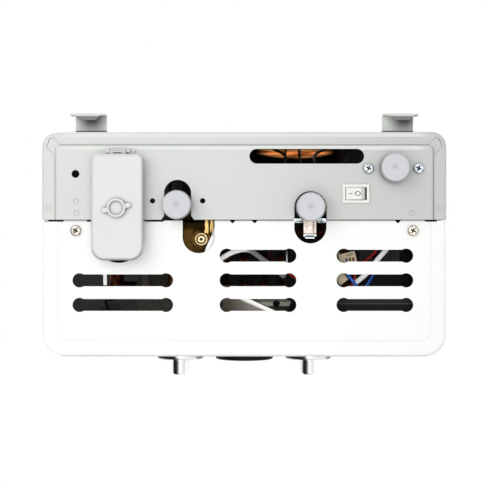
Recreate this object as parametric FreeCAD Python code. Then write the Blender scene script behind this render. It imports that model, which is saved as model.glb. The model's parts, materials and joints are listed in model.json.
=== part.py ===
"""Portable propane water heater: a wall-hung sheet-metal casing with its gas and water works inside.

Frame: millimetres, +Z up, +X to the right of someone facing the front, -Y to the front. The origin is
midway between the two wall holes of the hanger bar, on the wall plane, so the whole heater hangs below it.
"""
import FreeCAD
import Part
import math
import os
from FreeCAD import Vector

# ---------------------------------------------------------------- driving sizes
sheet = 1.0                      # casing steel
casing_width = 324.0             # grey back pan, outside
casing_height = 520.0
standoff = 16.0                  # wall plane to back face
pan_depth = 70.4                 # back face to the seam
cover_depth = 109.6              # seam to the front face
cover_inset = 0.4                # the cover is this much narrower on each side
seam_gap = 0.7
pan_corner = 12.0                # plan radius of the rear corners
cover_corner = 18.0              # plan radius of the front corners
edge_round = 2.5                 # rolled edges of both shells
hang_rise = 12.0                 # wall holes above the casing's top
touch = 0.3                      # clearance between neighbours on different bodies
fit_gap = 0.08                   # radial running clearance

# ---------------------------------------------------------------- reference planes
wall_y = 0.0
back_y = wall_y - standoff
seam_y = back_y - pan_depth
front_y = seam_y - cover_depth
mid_y = (back_y + front_y) / 2
top_z = -hang_rise
base_z = top_z - casing_height
half_width = casing_width / 2
cover_half = half_width - cover_inset
EPS = 1e-4

# ---------------------------------------------------------------- base tray
rim_width = 10.7                 # lip of the pan around the tray
tray_drop = 2.5                  # tray face stands proud of the rim by this
tray_half = half_width - rim_width
tray_back = back_y - rim_width
tray_face = base_z - tray_drop   # lowest plane of the tray
tray_floor = tray_face + sheet   # its upper side, where fittings are seated
tray_flange = 5.0
tongue_half = 8.6                # the tray's two screw tongues, half their width

# ---------------------------------------------------------------- features of the underside
slot_height = 9.5
slot_end_radius = 5.7
slot_pitch = 19.7
slot_row_y = mid_y - 9.2
slot_groups = [(97.3, 80.5, (1, 2)), (-10.9, 61.4, (0, 1, 2)), (-104.4, 61.4, (0, 1, 2))]
rear_slot_x = -49.8
rear_slot_y = back_y - 19.8
rear_slot_length = 91.6
rear_slot_radius = 5.9
cold_x = 53.3
cold_y = mid_y + 31.1
cold_hole_radius = 10.8
cold_hole_y = mid_y + 40.6
hot_x = -52.4
hot_y = mid_y + 29.4
hot_hole_x = -52.8
hot_hole_radius = 12.9
hot_hole_front = mid_y + 13.5
gas_x = -119.0
gas_y = back_y - 29.5
flange_screw_pitch = 40.0
drain_x = 34.7
drain_y = mid_y + 4.0
drain_hole_x = 36.6
drain_hole_y = mid_y + 5.6
drain_hole_radius = 12.8
battery_x = 100.4
battery_y = back_y - 60.8
battery_hole_radius = 19.4
battery_hole_front = battery_y - 24.7
switch_x = -89.1
switch_y = mid_y + 40.3
cover_screw_x = 134.8
cover_screw_y = mid_y + 10.8
top_screw_x = 120.0
top_screw_y = seam_y - 6.0
screw_radius = 1.65
screw_length = 8.0
screw_head_radius = 4.3
screw_head = 2.5
screw_hole = 2.2                 # clearance hole under a head

# ---------------------------------------------------------------- threaded fittings and their caps
thread_radius = 10.48            # 1/2 inch pipe thread
thread_length = 14.0
thread_pitch = 1.81
neck_radius = 9.5
cap_wall = 0.4
cap_height = 15.0
cap_teeth = 48
cap_tooth = 0.6
cap_end = 1.6
cap_dish = 2.7                   # radius of the dish in its face

# ---------------------------------------------------------------- front controls
control_z = base_z + 70.0
knob_x = 54.4
knob_radius = 19.8
knob_skirt = 7.4
knob_reach = 19.5
grip_width = 12.4
grip_length = 37.0
stem_radius = 3.0
display_radius = 24.5
display_reach = 7.6
window_z = base_z + 176.0
window_length = 66.0
window_radius = 12.0

# ---------------------------------------------------------------- burner and exchanger
burner_z = base_z + 104.0
burner_height = 36.0
chamber_z = burner_z + burner_height
chamber_height = 120.0
chamber_half = 97.0
chamber_gap = 4.0                # behind the chamber
chamber_depth = 146.0
chamber_back = back_y - chamber_gap
chamber_front = chamber_back - chamber_depth
lip_roll = 2.1                   # rolled ribs under the chamber's rear edge
fin_z = chamber_z + chamber_height
fin_height = 72.0
fin_count = 25
fin_thickness = 1.0
tube_radius = 6.0
tube_count = 5
hood_height = 140.0
bar_count = 10
bar_width = 9.0

# ---------------------------------------------------------------- handle
handle_pivot_z = top_z - 22.0
handle_pivot_y = (wall_y + back_y) / 2
handle_half = 114.5
handle_length = 92.0
handle_strip = 3.0
handle_rod = 3.5
grip_radius = 7.0
pivot_radius = 2.5

# ---------------------------------------------------------------- battery
cell_radius = 17.1
cell_length = 61.5
box_wall = 1.4
box_half_pitch = cell_radius + 0.2
lid_width = 40.8
lid_length = 84.0
lid_depth = 7.6
lid_round_back = 5.0
lid_round_front = 10.5
lid_wall = 1.6


# ---------------------------------------------------------------- helpers
def block(x0, x1, y0, y1, z0, z1):
    return Part.makeBox(x1 - x0, y1 - y0, z1 - z0, Vector(x0, y0, z0))


def rod(radius, start, end):
    axis = Vector(*end) - Vector(*start)
    return Part.makeCylinder(radius, axis.Length, Vector(*start), axis)


def upright(radius, x, y, z0, z1):
    return rod(radius, (x, y, z0), (x, y, z1))


def cone(radius0, radius1, start, end):
    axis = Vector(*end) - Vector(*start)
    return Part.makeCone(radius0, radius1, axis.Length, Vector(*start), axis)


def fuse(first, *others):
    return first.fuse(list(others)).removeSplitter()


def mirrored(shape):
    """The same shape on the other side of the middle plane."""
    return shape.mirror(Vector(0, 0, 0), Vector(1, 0, 0))


def rounded_edges(points, radii, closed):
    """Straight edges through the points, with a tangent arc of the given radius at each corner."""
    count = len(points)
    starts, ends, arcs = {}, {}, {}
    for i in range(count):
        here = points[i]
        if not closed and i in (0, count - 1) or radii[i] < EPS:
            starts[i] = ends[i] = here
            continue
        back = (points[i - 1] - here).normalize()
        ahead = (points[(i + 1) % count] - here).normalize()
        half = back.getAngle(ahead) / 2
        reach = radii[i] / math.tan(half)
        starts[i], ends[i] = here + back * reach, here + ahead * reach
        inward = (back + ahead).normalize()
        middle = here + inward * (radii[i] / math.sin(half) - radii[i])
        arcs[i] = Part.Arc(starts[i], middle, ends[i]).toShape()
    edges = []
    for i in range(count if closed else count - 1):
        j = (i + 1) % count
        if i in arcs:
            edges.append(arcs[i])
        if (starts[j] - ends[i]).Length > EPS:
            edges.append(Part.LineSegment(ends[i], starts[j]).toShape())
    return edges


def plate(corners, radii, z0, z1):
    """A flat plate between two heights, from plan corners with their own radii."""
    points = [Vector(x, y, z0) for x, y in corners]
    if isinstance(radii, (int, float)):
        radii = [radii] * len(points)
    wire = Part.Wire(rounded_edges(points, radii, True))
    return Part.Face(wire).extrude(Vector(0, 0, z1 - z0))


def rectangle(x0, x1, y0, y1):
    return [(x0, y0), (x1, y0), (x1, y1), (x0, y1)]


def stadium(x, y0, y1, radius, z0, z1):
    """A slot shape that runs along Y between two round ends."""
    return fuse(upright(radius, x, y0, z0, z1), upright(radius, x, y1, z0, z1),
                block(x - radius, x + radius, min(y0, y1), max(y0, y1), z0, z1))


def slot_along_x(x, y, length, radius, z0, z1):
    half = length / 2 - radius
    return fuse(upright(radius, x - half, y, z0, z1), upright(radius, x + half, y, z0, z1),
                block(x - half, x + half, y - radius, y + radius, z0, z1))


def dimple(x, y, z_face, radius):
    """A ball that leaves a shallow round dimple in a sheet seen from below."""
    depth = 0.5
    ball = (radius ** 2 + depth ** 2) / (2 * depth)
    return Part.makeSphere(ball, Vector(x, y, z_face + depth - ball))


def round_edges(shape, radius, wanted):
    """Fillets the edges that the test picks by their middle point."""
    edges = [e for e in shape.Edges if wanted(e)]
    return shape.makeFillet(radius, edges)


def on_plane(edge, axis, value):
    return all(abs(getattr(v.Point, axis) - value) < EPS for v in edge.Vertexes)


def tube_route(points):
    """A smooth path whose arcs are as large as their runs allow. Prints the tightest radius."""
    points = [Vector(*p) for p in points]
    radii = [0.0]
    for i in range(1, len(points) - 1):
        back, ahead = points[i - 1] - points[i], points[i + 1] - points[i]
        turn = math.pi - back.getAngle(ahead)
        radii.append(0.48 * min(back.Length, ahead.Length) / math.tan(turn / 2) if turn > 0.01 else 0.0)
    radii.append(0.0)
    print("  route radii", [round(r, 1) for r in radii[1:-1]])
    return Part.Wire(rounded_edges(points, radii, False))


def pipe(points, radius):
    """A solid round tube along a route."""
    path = tube_route(points)
    start = Vector(*points[0])
    ring = Part.Circle(start, Vector(*points[1]) - start, radius).toShape()
    solid = path.makePipeShell([Part.Wire(ring)], True, True)
    print("  pipe volume share", round(solid.Volume / (math.pi * radius ** 2 * path.Length), 4))
    return solid


def hex_prism(across, x, y, z0, z1):
    corners = [(x + across / math.sqrt(3) * math.cos(math.radians(60 * k)),
                y + across / math.sqrt(3) * math.sin(math.radians(60 * k))) for k in range(6)]
    return plate(corners, 0, z0, z1)


def pan_head(x, y, z_seat, up):
    """A cross-recess screw standing on a seat, its shank pointing up (+1) or down (-1)."""
    head = Part.makeCylinder(screw_head_radius, screw_head, Vector(x, y, z_seat), Vector(0, 0, -up))
    far = z_seat - up * screw_head
    head = round_edges(head, screw_head * 0.55, lambda e: on_plane(e, "z", far) and len(e.Vertexes) == 1)
    arm, wide, deep = screw_head_radius * 0.5, screw_head_radius * 0.14, screw_head * 0.6
    low, high = sorted((far, far + up * deep))
    cross = fuse(block(x - arm, x + arm, y - wide, y + wide, low, high),
                 block(x - wide, x + wide, y - arm, y + arm, low, high))
    cross.rotate(Vector(x, y, low), Vector(0, 0, 1), 25)
    shank = Part.makeCylinder(screw_radius, screw_length, Vector(x, y, z_seat), Vector(0, 0, up))
    return fuse(head.cut(cross), shank)


def threaded_spigot(x, y, z0, z1, radius):
    """A pipe thread as a stack of ridges on its core, from z0 up to z1."""
    core = upright(radius - 1.1, x, y, z0, z1)
    ridges = []
    count = int((z1 - z0) / thread_pitch)
    for k in range(count):
        low = z0 + k * thread_pitch + 0.1
        middle = low + 0.4 * thread_pitch
        crest = middle + 0.15 * thread_pitch
        high = low + 0.92 * thread_pitch
        ridges += [cone(radius - 1.2, radius, (x, y, low), (x, y, middle)),
                   upright(radius, x, y, middle, crest),
                   cone(radius, radius - 1.2, (x, y, crest), (x, y, high))]
    return fuse(core, *ridges)


written = []


def save(name, shape):
    solids = shape.Solids
    bad = [s for s in solids if not s.isValid() or s.Volume <= 0]
    if not solids or bad:
        print("PROBLEM", name, len(solids), "solids,", len(bad), "bad")
    if len(solids) == 1:
        shape = solids[0]
    shape.exportStep(os.path.join("parts", name + ".step"))
    written.append(name)
    print(name, len(solids), "solid(s)", round(shape.Volume / 1000, 2), "cm3")


# ---------------------------------------------------------------- casing: shells
def casing_solid(half, y_front, y_back, front_radius, back_radius, inset, roll):
    """A closed box with rounded upright corners and rolled top and bottom edges, inset from the outside."""
    outline = rectangle(-half + inset, half - inset, y_front, y_back)
    radii = [front_radius, front_radius, back_radius, back_radius]
    solid = plate(outline, radii, base_z + inset, top_z - inset)
    open_y = y_front if back_radius > 0 else y_back

    def outline_edge(edge):
        at_end = on_plane(edge, "z", base_z + inset) or on_plane(edge, "z", top_z - inset)
        return at_end and not on_plane(edge, "y", open_y)

    return round_edges(solid, roll, outline_edge)


def joggle_strips(strip_reach, strip_overlap, strip_gap):
    """Inner strips of the pan's open edge, on which the cover is seated."""
    pan_wall = half_width - sheet
    strip_out = cover_half - sheet - strip_gap
    z0, z1 = base_z + 24.0, top_z - 24.0
    side = fuse(block(strip_out - sheet, pan_wall, seam_y + 2, seam_y + strip_reach, z0, z1),
                block(strip_out - sheet, strip_out, seam_y - strip_overlap, seam_y + 2, z0, z1))
    roof = top_z - sheet - strip_gap
    top_half = 146.0
    screw_holes = [upright(screw_radius, x, top_screw_y, top_z - 6, top_z)
                   for x in (-top_screw_x, top_screw_x)]
    top = fuse(block(-top_half, top_half, seam_y + 2, seam_y + strip_reach, roof - sheet, top_z - sheet),
               block(-top_half, top_half, seam_y - strip_overlap, seam_y + 2, roof - sheet, roof))
    return side, mirrored(side), top.cut(screw_holes)


def corner_ear(side, grow):
    """The mitred corner piece of the tray that fills the notch in the rim, on one side of the casing."""
    corner_x, corner_y = half_width, back_y
    corners = [(corner_x - 16.1 - grow, corner_y - 11.9), (corner_x - 9.0, corner_y - 4.4 + grow),
               (corner_x - 6.2 + grow, corner_y - 6.0 + grow), (corner_x - 3.8 + grow, corner_y - 12.4),
               (corner_x - 10.5, corner_y - 18.7 - grow), (corner_x - 13.0, corner_y - 16.0)]
    corners = [(side * x, y) for x, y in corners]
    return corners if side > 0 else corners[::-1]


ear_sheet = 2.5
ear_foot = 20.0
ear_foot_sheet = 2.0
hanger_gap = 2.2                 # between the hanger bar and the handle's ears
handle_ear_x = handle_half - handle_strip / 2 - touch - ear_sheet
hanger_half = handle_ear_x - ear_foot - hanger_gap
hole_half_pitch = 70.0
bracket_x = 125.5
rear_vents_z = [base_z + 64 + 16 * k for k in range(4)]


def make_back_panel():
    outer = casing_solid(half_width, seam_y, back_y, 0, pan_corner, 0, edge_round)
    inner = casing_solid(half_width, seam_y - 5, back_y - sheet, 0, pan_corner - sheet, sheet,
                         edge_round - sheet)
    shell = outer.cut(inner)
    mouth = plate(rectangle(-tray_half - 0.3, tray_half + 0.3, seam_y - 5, tray_back + 0.3),
                  [0, 0, 4.3, 4.3],
                  base_z - 5, base_z + sheet + 0.5)
    cuts = [mouth]
    for side in (-1, 1):
        cuts.append(plate(corner_ear(side, touch), 0, base_z - 5, base_z + sheet + 0.5))
        cuts.append(dimple(side * (half_width - 5.2), mid_y + 29.2, base_z, 2.6))
    for z in rear_vents_z:
        for x in (-72.0, 0.0, 72.0):
            vent = slot_along_x(x, 0, 48.0, 3.0, -2, 2)
            vent.rotate(Vector(x, 0, 0), Vector(1, 0, 0), 90)
            vent.translate(Vector(0, back_y - sheet / 2, z))
            cuts.append(vent)
    shell = shell.cut(cuts)
    ribs = []
    rib_depth = 2.0
    for z in (base_z + 175, base_z + 345):
        rib = rod(6.0, (-118, back_y - 4.0, z), (118, back_y - 4.0, z))
        hollow = rod(5.0, (-118, back_y - 4.0, z), (118, back_y - 4.0, z))
        ribs.append((rib, hollow))
    for rib, hollow in ribs:
        bead = rib.common(block(-118, 118, back_y - 0.5, back_y + rib_depth, -600, 0))
        hollow = hollow.common(block(-117, 117, back_y - sheet - 2, back_y + rib_depth, -600, 0))
        shell = shell.fuse(bead).cut(hollow)
    return fuse(shell, *joggle_strips(14.0, 10.0, 0.15))


def battery_hole(radius, y_front, y_back, z0, z1):
    return stadium(battery_x, y_front, y_back, radius, z0, z1)


def underside_openings(z0, z1):
    """Openings that the tray and the cover share where they cross the seam."""
    hot = stadium(hot_hole_x, hot_hole_front, hot_y, hot_hole_radius, z0, z1)
    cells = battery_hole(battery_hole_radius, battery_hole_front, battery_y + 18.0, z0, z1)
    return [hot, cells]


def make_base_plate():
    tray = plate(rectangle(-tray_half, tray_half, seam_y, tray_back), [0, 0, 4, 4], tray_face,
                 base_z + 2 * sheet)
    tray = round_edges(tray, tray_drop - 0.2,
                       lambda e: on_plane(e, "z", tray_face) and not on_plane(e, "y", seam_y))
    hollow = plate(rectangle(-tray_half + sheet, tray_half - sheet, seam_y + sheet, tray_back - sheet),
                   [0, 0, 3, 3],
                   tray_floor, base_z + 5)
    hollow = round_edges(hollow, tray_drop - 0.2 - sheet,
                         lambda e: on_plane(e, "z", tray_floor) and not on_plane(e, "y", seam_y + sheet))
    flange_z0, flange_z1 = base_z + sheet, base_z + 2 * sheet
    flange = plate(rectangle(-tray_half - tray_flange, tray_half + tray_flange, seam_y + 17,
                             tray_back + tray_flange),
                   [0, 0, 6, 6], flange_z0, flange_z1)
    ears = []
    for side in (-1, 1):
        ears.append(plate(corner_ear(side, 0.0), 0, base_z + 0.15, flange_z0))
    tray = fuse(tray, flange, *ears).cut(hollow)
    tray = tray.cut(block(-half_width, half_width, seam_y - 5, seam_y + sheet, base_z + sheet, base_z + 5))
    tongue_z = base_z + sheet + 0.2
    tongues = []
    for side in (-1, 1):
        x0, x1 = sorted((side * (cover_screw_x - tongue_half), side * (cover_screw_x + tongue_half)))
        riser = block(x0, x1, seam_y, seam_y + sheet, base_z + sheet - 0.5, tongue_z + sheet)
        tongue = block(x0, x1, seam_y - 16, seam_y + sheet, tongue_z, tongue_z + sheet)
        tongues += [fuse(riser, tongue).cut(upright(screw_radius, side * cover_screw_x, cover_screw_y,
                                                    base_z, base_z + 5))]
    tray = fuse(tray, *tongues)
    z0, z1 = tray_face - 3, base_z + 6
    cuts = [c.common(block(-200, 200, seam_y - 0.5, back_y, z0, z1)) for c in underside_openings(z0, z1)]
    cold = fuse(stadium(cold_x, seam_y - 10, cold_hole_y, cold_hole_radius, z0, z1),
                plate([(cold_x - cold_hole_radius - 3, seam_y - 1),
                       (cold_x + cold_hole_radius + 3, seam_y - 1),
                       (cold_x + cold_hole_radius, seam_y + 3.2),
                       (cold_x - cold_hole_radius, seam_y + 3.2)], 0, z0, z1))
    cuts.append(cold.common(block(0, 100, seam_y - 0.5, back_y, z0, z1)))
    cuts.append(slot_along_x(rear_slot_x, rear_slot_y, rear_slot_length, rear_slot_radius, z0, z1))
    cuts.append(upright(thread_radius + 0.5, gas_x, gas_y, z0, z1))
    for side in (-1, 1):
        cuts.append(upright(screw_hole, gas_x + side * flange_screw_pitch / 2, gas_y, z0, z1))
        cuts.append(upright(2.15, cold_x + side * flange_screw_pitch / 2, mid_y + 34.6, z0, z1))
    cuts.append(block(switch_x - 9.7, switch_x + 9.7, switch_y - 6.7, switch_y + 6.7, z0, z1))
    cuts.append(upright(3.15, 134.8, mid_y + 56.1, z0, z1))
    for x, y in ((134.4, mid_y + 34.7), (134.4, mid_y + 24.9), (-134.1, mid_y + 25.6)):
        cuts.append(dimple(x, y, tray_face, 2.1))
    return tray.cut(cuts)


def dogbone(x, y, length, z0, z1):
    """A punched slot whose round ends are a little wider than its middle."""
    half = length / 2 - slot_end_radius
    return fuse(upright(slot_end_radius, x - half, y, z0, z1),
                upright(slot_end_radius, x + half, y, z0, z1),
                block(x - half, x + half, y - slot_height / 2, y + slot_height / 2, z0, z1))


side_vents_z = [base_z + 92 + 14 * k for k in range(5)]
flue_half = 62.0
flue_front = mid_y - 50.0
flue_back = mid_y - 4.0


def make_front_cover():
    outer = casing_solid(cover_half, front_y, seam_y - seam_gap, cover_corner, 0, 0, edge_round)
    inner = casing_solid(cover_half, front_y + sheet, seam_y + 5, cover_corner - sheet, 0, sheet,
                         edge_round - sheet)
    shell = outer.cut(inner)
    z0, z1 = base_z - 3, base_z + sheet + 2
    cuts = [c.common(block(-200, 200, front_y, seam_y + 1, z0, z1)) for c in underside_openings(z0, z1)]
    cuts.append(stadium(drain_hole_x, drain_hole_y, seam_y + 10, drain_hole_radius, z0, z1))
    for x, length, rows in slot_groups:
        for row in rows:
            cuts.append(dogbone(x, slot_row_y - row * slot_pitch, length, z0, z1))
    for side in (-1, 1):
        cuts.append(upright(screw_hole, side * cover_screw_x, cover_screw_y, z0, z1))
        cuts.append(upright(screw_hole, side * top_screw_x, top_screw_y, top_z - 3, top_z + 3))
    seam_gaps = [(144.6, 160.0), (122.0, 126.0), (64.5, 79.6), (-154.0, -144.5)]
    for x0, x1 in seam_gaps:
        cuts.append(block(x0, x1, seam_y - 1.6, seam_y + 1, z0, z1))
    tab_notches = [9.5, -8.2, -122.8]
    for x in tab_notches:
        cuts.append(plate([(x - 2.0, seam_y + 1), (x - 2.0, seam_y - 1.2), (x, seam_y - 3.0),
                           (x + 2.0, seam_y - 1.2),
                           (x + 2.0, seam_y + 1)], 0, z0, z1))
    for x in (-knob_x, knob_x):
        cuts.append(rod(6.5, (x, front_y - 3, control_z), (x, front_y + 5, control_z)))
    cuts.append(rod(20.0, (0, front_y - 3, control_z), (0, front_y + 5, control_z)))
    window = slot_along_x(0, 0, window_length - 6, window_radius - 3, -4, 4)
    window.rotate(Vector(0, 0, 0), Vector(1, 0, 0), 90)
    window.translate(Vector(0, front_y, window_z))
    cuts.append(window)
    for z in side_vents_z:
        vent = slot_along_x(0, 0, 62.0, 3.2, -200, 200)
        vent.rotate(Vector(0, 0, 0), Vector(0, 0, 1), 90)
        vent.rotate(Vector(0, 0, 0), Vector(0, 1, 0), 90)
        vent.translate(Vector(0, (front_y + seam_y) / 2, z))
        cuts.append(vent)
    cuts.append(plate(rectangle(-flue_half, flue_half, flue_front, flue_back), 4, top_z - 3, top_z + 3))
    rim = 12.4
    groove = plate(rectangle(-cover_half + rim, cover_half - rim, front_y + rim, seam_y + 8), [8, 8, 0, 0],
                   base_z - 1, base_z + 0.2)
    groove = groove.cut(plate(rectangle(-cover_half + rim + 0.5, cover_half - rim - 0.5,
                                        front_y + rim + 0.5,
                                        seam_y + 9), [7.5, 7.5, 0, 0], base_z - 2, base_z + 1))
    cuts.append(groove)
    return shell.cut(cuts)


def make_casing_screws():
    """Six identical screws: two hold the cover's underside, two its top, and two the gas inlet's flange."""
    screws = []
    for side in (-1, 1):
        screws.append(pan_head(side * cover_screw_x, cover_screw_y, base_z, 1))
        screws.append(pan_head(side * top_screw_x, top_screw_y, top_z, -1))
        screws.append(pan_head(gas_x + side * flange_screw_pitch / 2, gas_y, tray_face, 1))
    return Part.makeCompound(screws)


# ---------------------------------------------------------------- wall brackets and hanger
bracket_sheet = 1.4
bracket_width = 25.5
bracket_ear = 3.2
bracket_leg_z = base_z + 26.0
bracket_drop = 12.0
lip_length = 3.8


def make_wall_brackets():
    half = bracket_width / 2
    x0, x1 = bracket_x - half, bracket_x + half
    low = bracket_leg_z - bracket_drop
    foot = block(x0, x1, back_y, back_y + bracket_sheet, bracket_leg_z, bracket_leg_z + 22)
    leg = block(x0, x1, back_y, wall_y, bracket_leg_z, bracket_leg_z + bracket_sheet)
    flange = block(x0, x1 + bracket_ear, wall_y - bracket_sheet, wall_y, low, bracket_leg_z + bracket_sheet)
    lip_root = wall_y - bracket_sheet
    lip = plate([(x0 + 8.0, lip_root - lip_length), (x1 - 4.0, lip_root - lip_length), (x1 - 0.5, lip_root),
                 (x0 + 4.5, lip_root)], 0, low, low + bracket_sheet)
    holes = [rod(2.1, (x, back_y - 1, bracket_leg_z + 13), (x, back_y + 5, bracket_leg_z + 13))
             for x in (bracket_x - 6.5, bracket_x + 6.5)]
    right = fuse(foot, leg, flange, lip).cut(holes)
    return Part.makeCompound([right, mirrored(right)])


hanger_sheet = 1.6
hanger_step_z = top_z - 16.0
hanger_rivets = (-72.0, -24.0, 24.0, 72.0)


def make_hanger_bar():
    foot = block(-hanger_half, hanger_half, back_y, back_y + hanger_sheet, hanger_step_z - 20,
                 hanger_step_z)
    step = block(-hanger_half, hanger_half, back_y, wall_y, hanger_step_z - hanger_sheet, hanger_step_z)
    rise = block(-hanger_half, hanger_half, wall_y - hanger_sheet, wall_y, hanger_step_z - hanger_sheet,
                 14.0)
    bar = fuse(foot, step, rise)
    bar = round_edges(bar, 8.0, lambda e: on_plane(e, "z", 14.0) and abs(e.Length - hanger_sheet) < 0.01)
    cuts = [rod(3.5, (x, wall_y - 5, 0), (x, wall_y + 5, 0)) for x in (-hole_half_pitch, hole_half_pitch)]
    waist = 44.0
    cuts.append(block(-waist, waist, wall_y - 5, wall_y + 5, 2.0, 20.0))
    cuts += [rod(2.1, (x, back_y - 1, hanger_step_z - 12), (x, back_y + 5, hanger_step_z - 12))
             for x in hanger_rivets]
    return bar.cut(cuts)


def rivet(x, y_face, z):
    """A blind rivet through a bracket, its dome to the wall side."""
    dome = Part.makeSphere(3.2, Vector(x, y_face - 1.6, z))
    dome = dome.common(block(x - 4, x + 4, y_face, y_face + 4, z - 4, z + 4))
    return fuse(dome, rod(2.0, (x, y_face - 2.0, z), (x, y_face + 0.5, z)))


def rivet_places():
    """Each rivet's x and z, and the thickness of the plate that it holds to the back panel."""
    places = [(side * bracket_x + dx, bracket_leg_z + 13, bracket_sheet)
              for side in (-1, 1) for dx in (-6.5, 6.5)]
    places += [(x, hanger_step_z - 12, hanger_sheet) for x in hanger_rivets]
    places += [(side * (handle_ear_x - 13.0), handle_pivot_z + dz, ear_foot_sheet)
               for side in (-1, 1) for dz in (-9, 9)]
    return places


def make_bracket_rivets():
    return Part.makeCompound([rivet(x, back_y + plate_depth, z) for x, z, plate_depth in rivet_places()])


def rivet_holes():
    """Through holes for the rivets' shanks in the back panel."""
    return [rod(2.1, (x, back_y - 4, z), (x, back_y + 1, z)) for x, z, _ in rivet_places()]


# ---------------------------------------------------------------- carrying handle
def make_handle_ears():
    x0 = handle_ear_x
    foot = block(x0 - ear_foot, x0 + ear_sheet, back_y, back_y + ear_foot_sheet, handle_pivot_z - 15,
                 handle_pivot_z + 15)
    foot = foot.cut([rod(2.1, (x0 - 13, back_y - 1, handle_pivot_z + dz),
                         (x0 - 13, back_y + 4, handle_pivot_z + dz))
                     for dz in (-9, 9)])
    ear = block(x0, x0 + ear_sheet, back_y, handle_pivot_y + 5.5, handle_pivot_z - 7, handle_pivot_z + 7)
    pin_end = handle_half + handle_strip / 2 + touch
    pin = rod(pivot_radius, (x0 + 1, handle_pivot_y, handle_pivot_z),
              (pin_end, handle_pivot_y, handle_pivot_z))
    head = rod(4.2, (pin_end, handle_pivot_y, handle_pivot_z),
               (pin_end + 1.8, handle_pivot_y, handle_pivot_z))
    right = fuse(foot, ear, pin, head)
    return Part.makeCompound([right, mirrored(right)])


def make_handle_bar():
    low = handle_pivot_z - handle_length
    arms = []
    for side in (-1, 1):
        x0, x1 = sorted((side * (handle_half - handle_strip / 2), side * (handle_half + handle_strip / 2)))
        arm = fuse(block(x0, x1, handle_pivot_y - 5, handle_pivot_y + 5, low, handle_pivot_z),
                   rod(5.0, (x0, handle_pivot_y, handle_pivot_z), (x1, handle_pivot_y, handle_pivot_z)),
                   rod(5.0, (x0, handle_pivot_y, low), (x1, handle_pivot_y, low)))
        arms.append(arm.cut(rod(pivot_radius + fit_gap, (x0 - 1, handle_pivot_y, handle_pivot_z),
                                (x1 + 1, handle_pivot_y, handle_pivot_z))))
    cross = rod(handle_rod, (-handle_half, handle_pivot_y, low), (handle_half, handle_pivot_y, low))
    return fuse(cross, *arms)


def make_handle_grip():
    low = handle_pivot_z - handle_length
    grip_half = 52.0
    grip = rod(grip_radius, (-grip_half, handle_pivot_y, low), (grip_half, handle_pivot_y, low))
    grip = round_edges(grip, 2.0, lambda e: on_plane(e, "x", -grip_half) or on_plane(e, "x", grip_half))
    rings = []
    for k in range(-6, 7):
        outer = rod(grip_radius + 1, (k * 7.0 - 0.8, handle_pivot_y, low),
                    (k * 7.0 + 0.8, handle_pivot_y, low))
        rings.append(outer.cut(rod(grip_radius - 0.7, (k * 7.0 - 1, handle_pivot_y, low),
                                   (k * 7.0 + 1, handle_pivot_y, low))))
    grip = grip.cut(rings)
    return grip.cut(rod(handle_rod, (-60, handle_pivot_y, low), (60, handle_pivot_y, low)))


# ---------------------------------------------------------------- viewing window and display
def flat_slot(length, radius, y0, y1, z):
    """A slot shape that stands upright, its long side along X."""
    shape = slot_along_x(0, 0, length, radius, 0, y1 - y0)
    shape.rotate(Vector(0, 0, 0), Vector(1, 0, 0), 90)
    shape.translate(Vector(0, y1, z))
    return shape


def make_window_frame():
    frame = flat_slot(window_length, window_radius, front_y - 2.4, front_y, window_z)
    frame = round_edges(frame, 1.4, lambda e: on_plane(e, "y", front_y - 2.4))
    return frame.cut(flat_slot(window_length - 8, window_radius - 4, front_y - 5, front_y + 2, window_z))


def make_window_glass():
    return flat_slot(window_length + 6, window_radius + 3, front_y + sheet, front_y + sheet + 2.5, window_z)


def make_display_bezel():
    ring = rod(display_radius, (0, front_y - display_reach, control_z), (0, front_y, control_z))
    ring = round_edges(ring, 1.8, lambda e: on_plane(e, "y", front_y - display_reach))
    ring = fuse(ring, rod(19.7, (0, front_y - 0.5, control_z), (0, front_y + sheet + 4, control_z)))
    return ring.cut([rod(20.2, (0, front_y - display_reach - 1, control_z),
                         (0, front_y - display_reach + 3, control_z)),
                     rod(16.5, (0, front_y - display_reach - 1, control_z), (0, front_y + 6, control_z))])


def make_display_lens():
    y0 = front_y - display_reach + 3.0
    lens = rod(20.1, (0, y0 - 2.2, control_z), (0, y0, control_z))
    return round_edges(lens, 0.8, lambda e: on_plane(e, "y", y0 - 2.2))


def make_display_module():
    y0 = front_y + sheet
    cup = rod(23.0, (0, y0, control_z), (0, y0 + 5.6, control_z))
    cup = cup.cut(rod(19.75, (0, y0 - 1, control_z), (0, y0 + 4, control_z)))
    return round_edges(cup, 1.0, lambda e: on_plane(e, "y", y0 + 5.6))


# ---------------------------------------------------------------- water and gas works
valve_z = base_z + 66.0          # height of the linkage between the two valves
valve_y = front_y + 28.5
linkage_x0 = 16.0                # faces of the diaphragm housing
linkage_x1 = 28.0
drum_radius = 20.5
push_radius = 2.0
push_travel = 4.0
fitting_seat = tray_floor
hot_seat = base_z + sheet + 1.5


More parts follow.
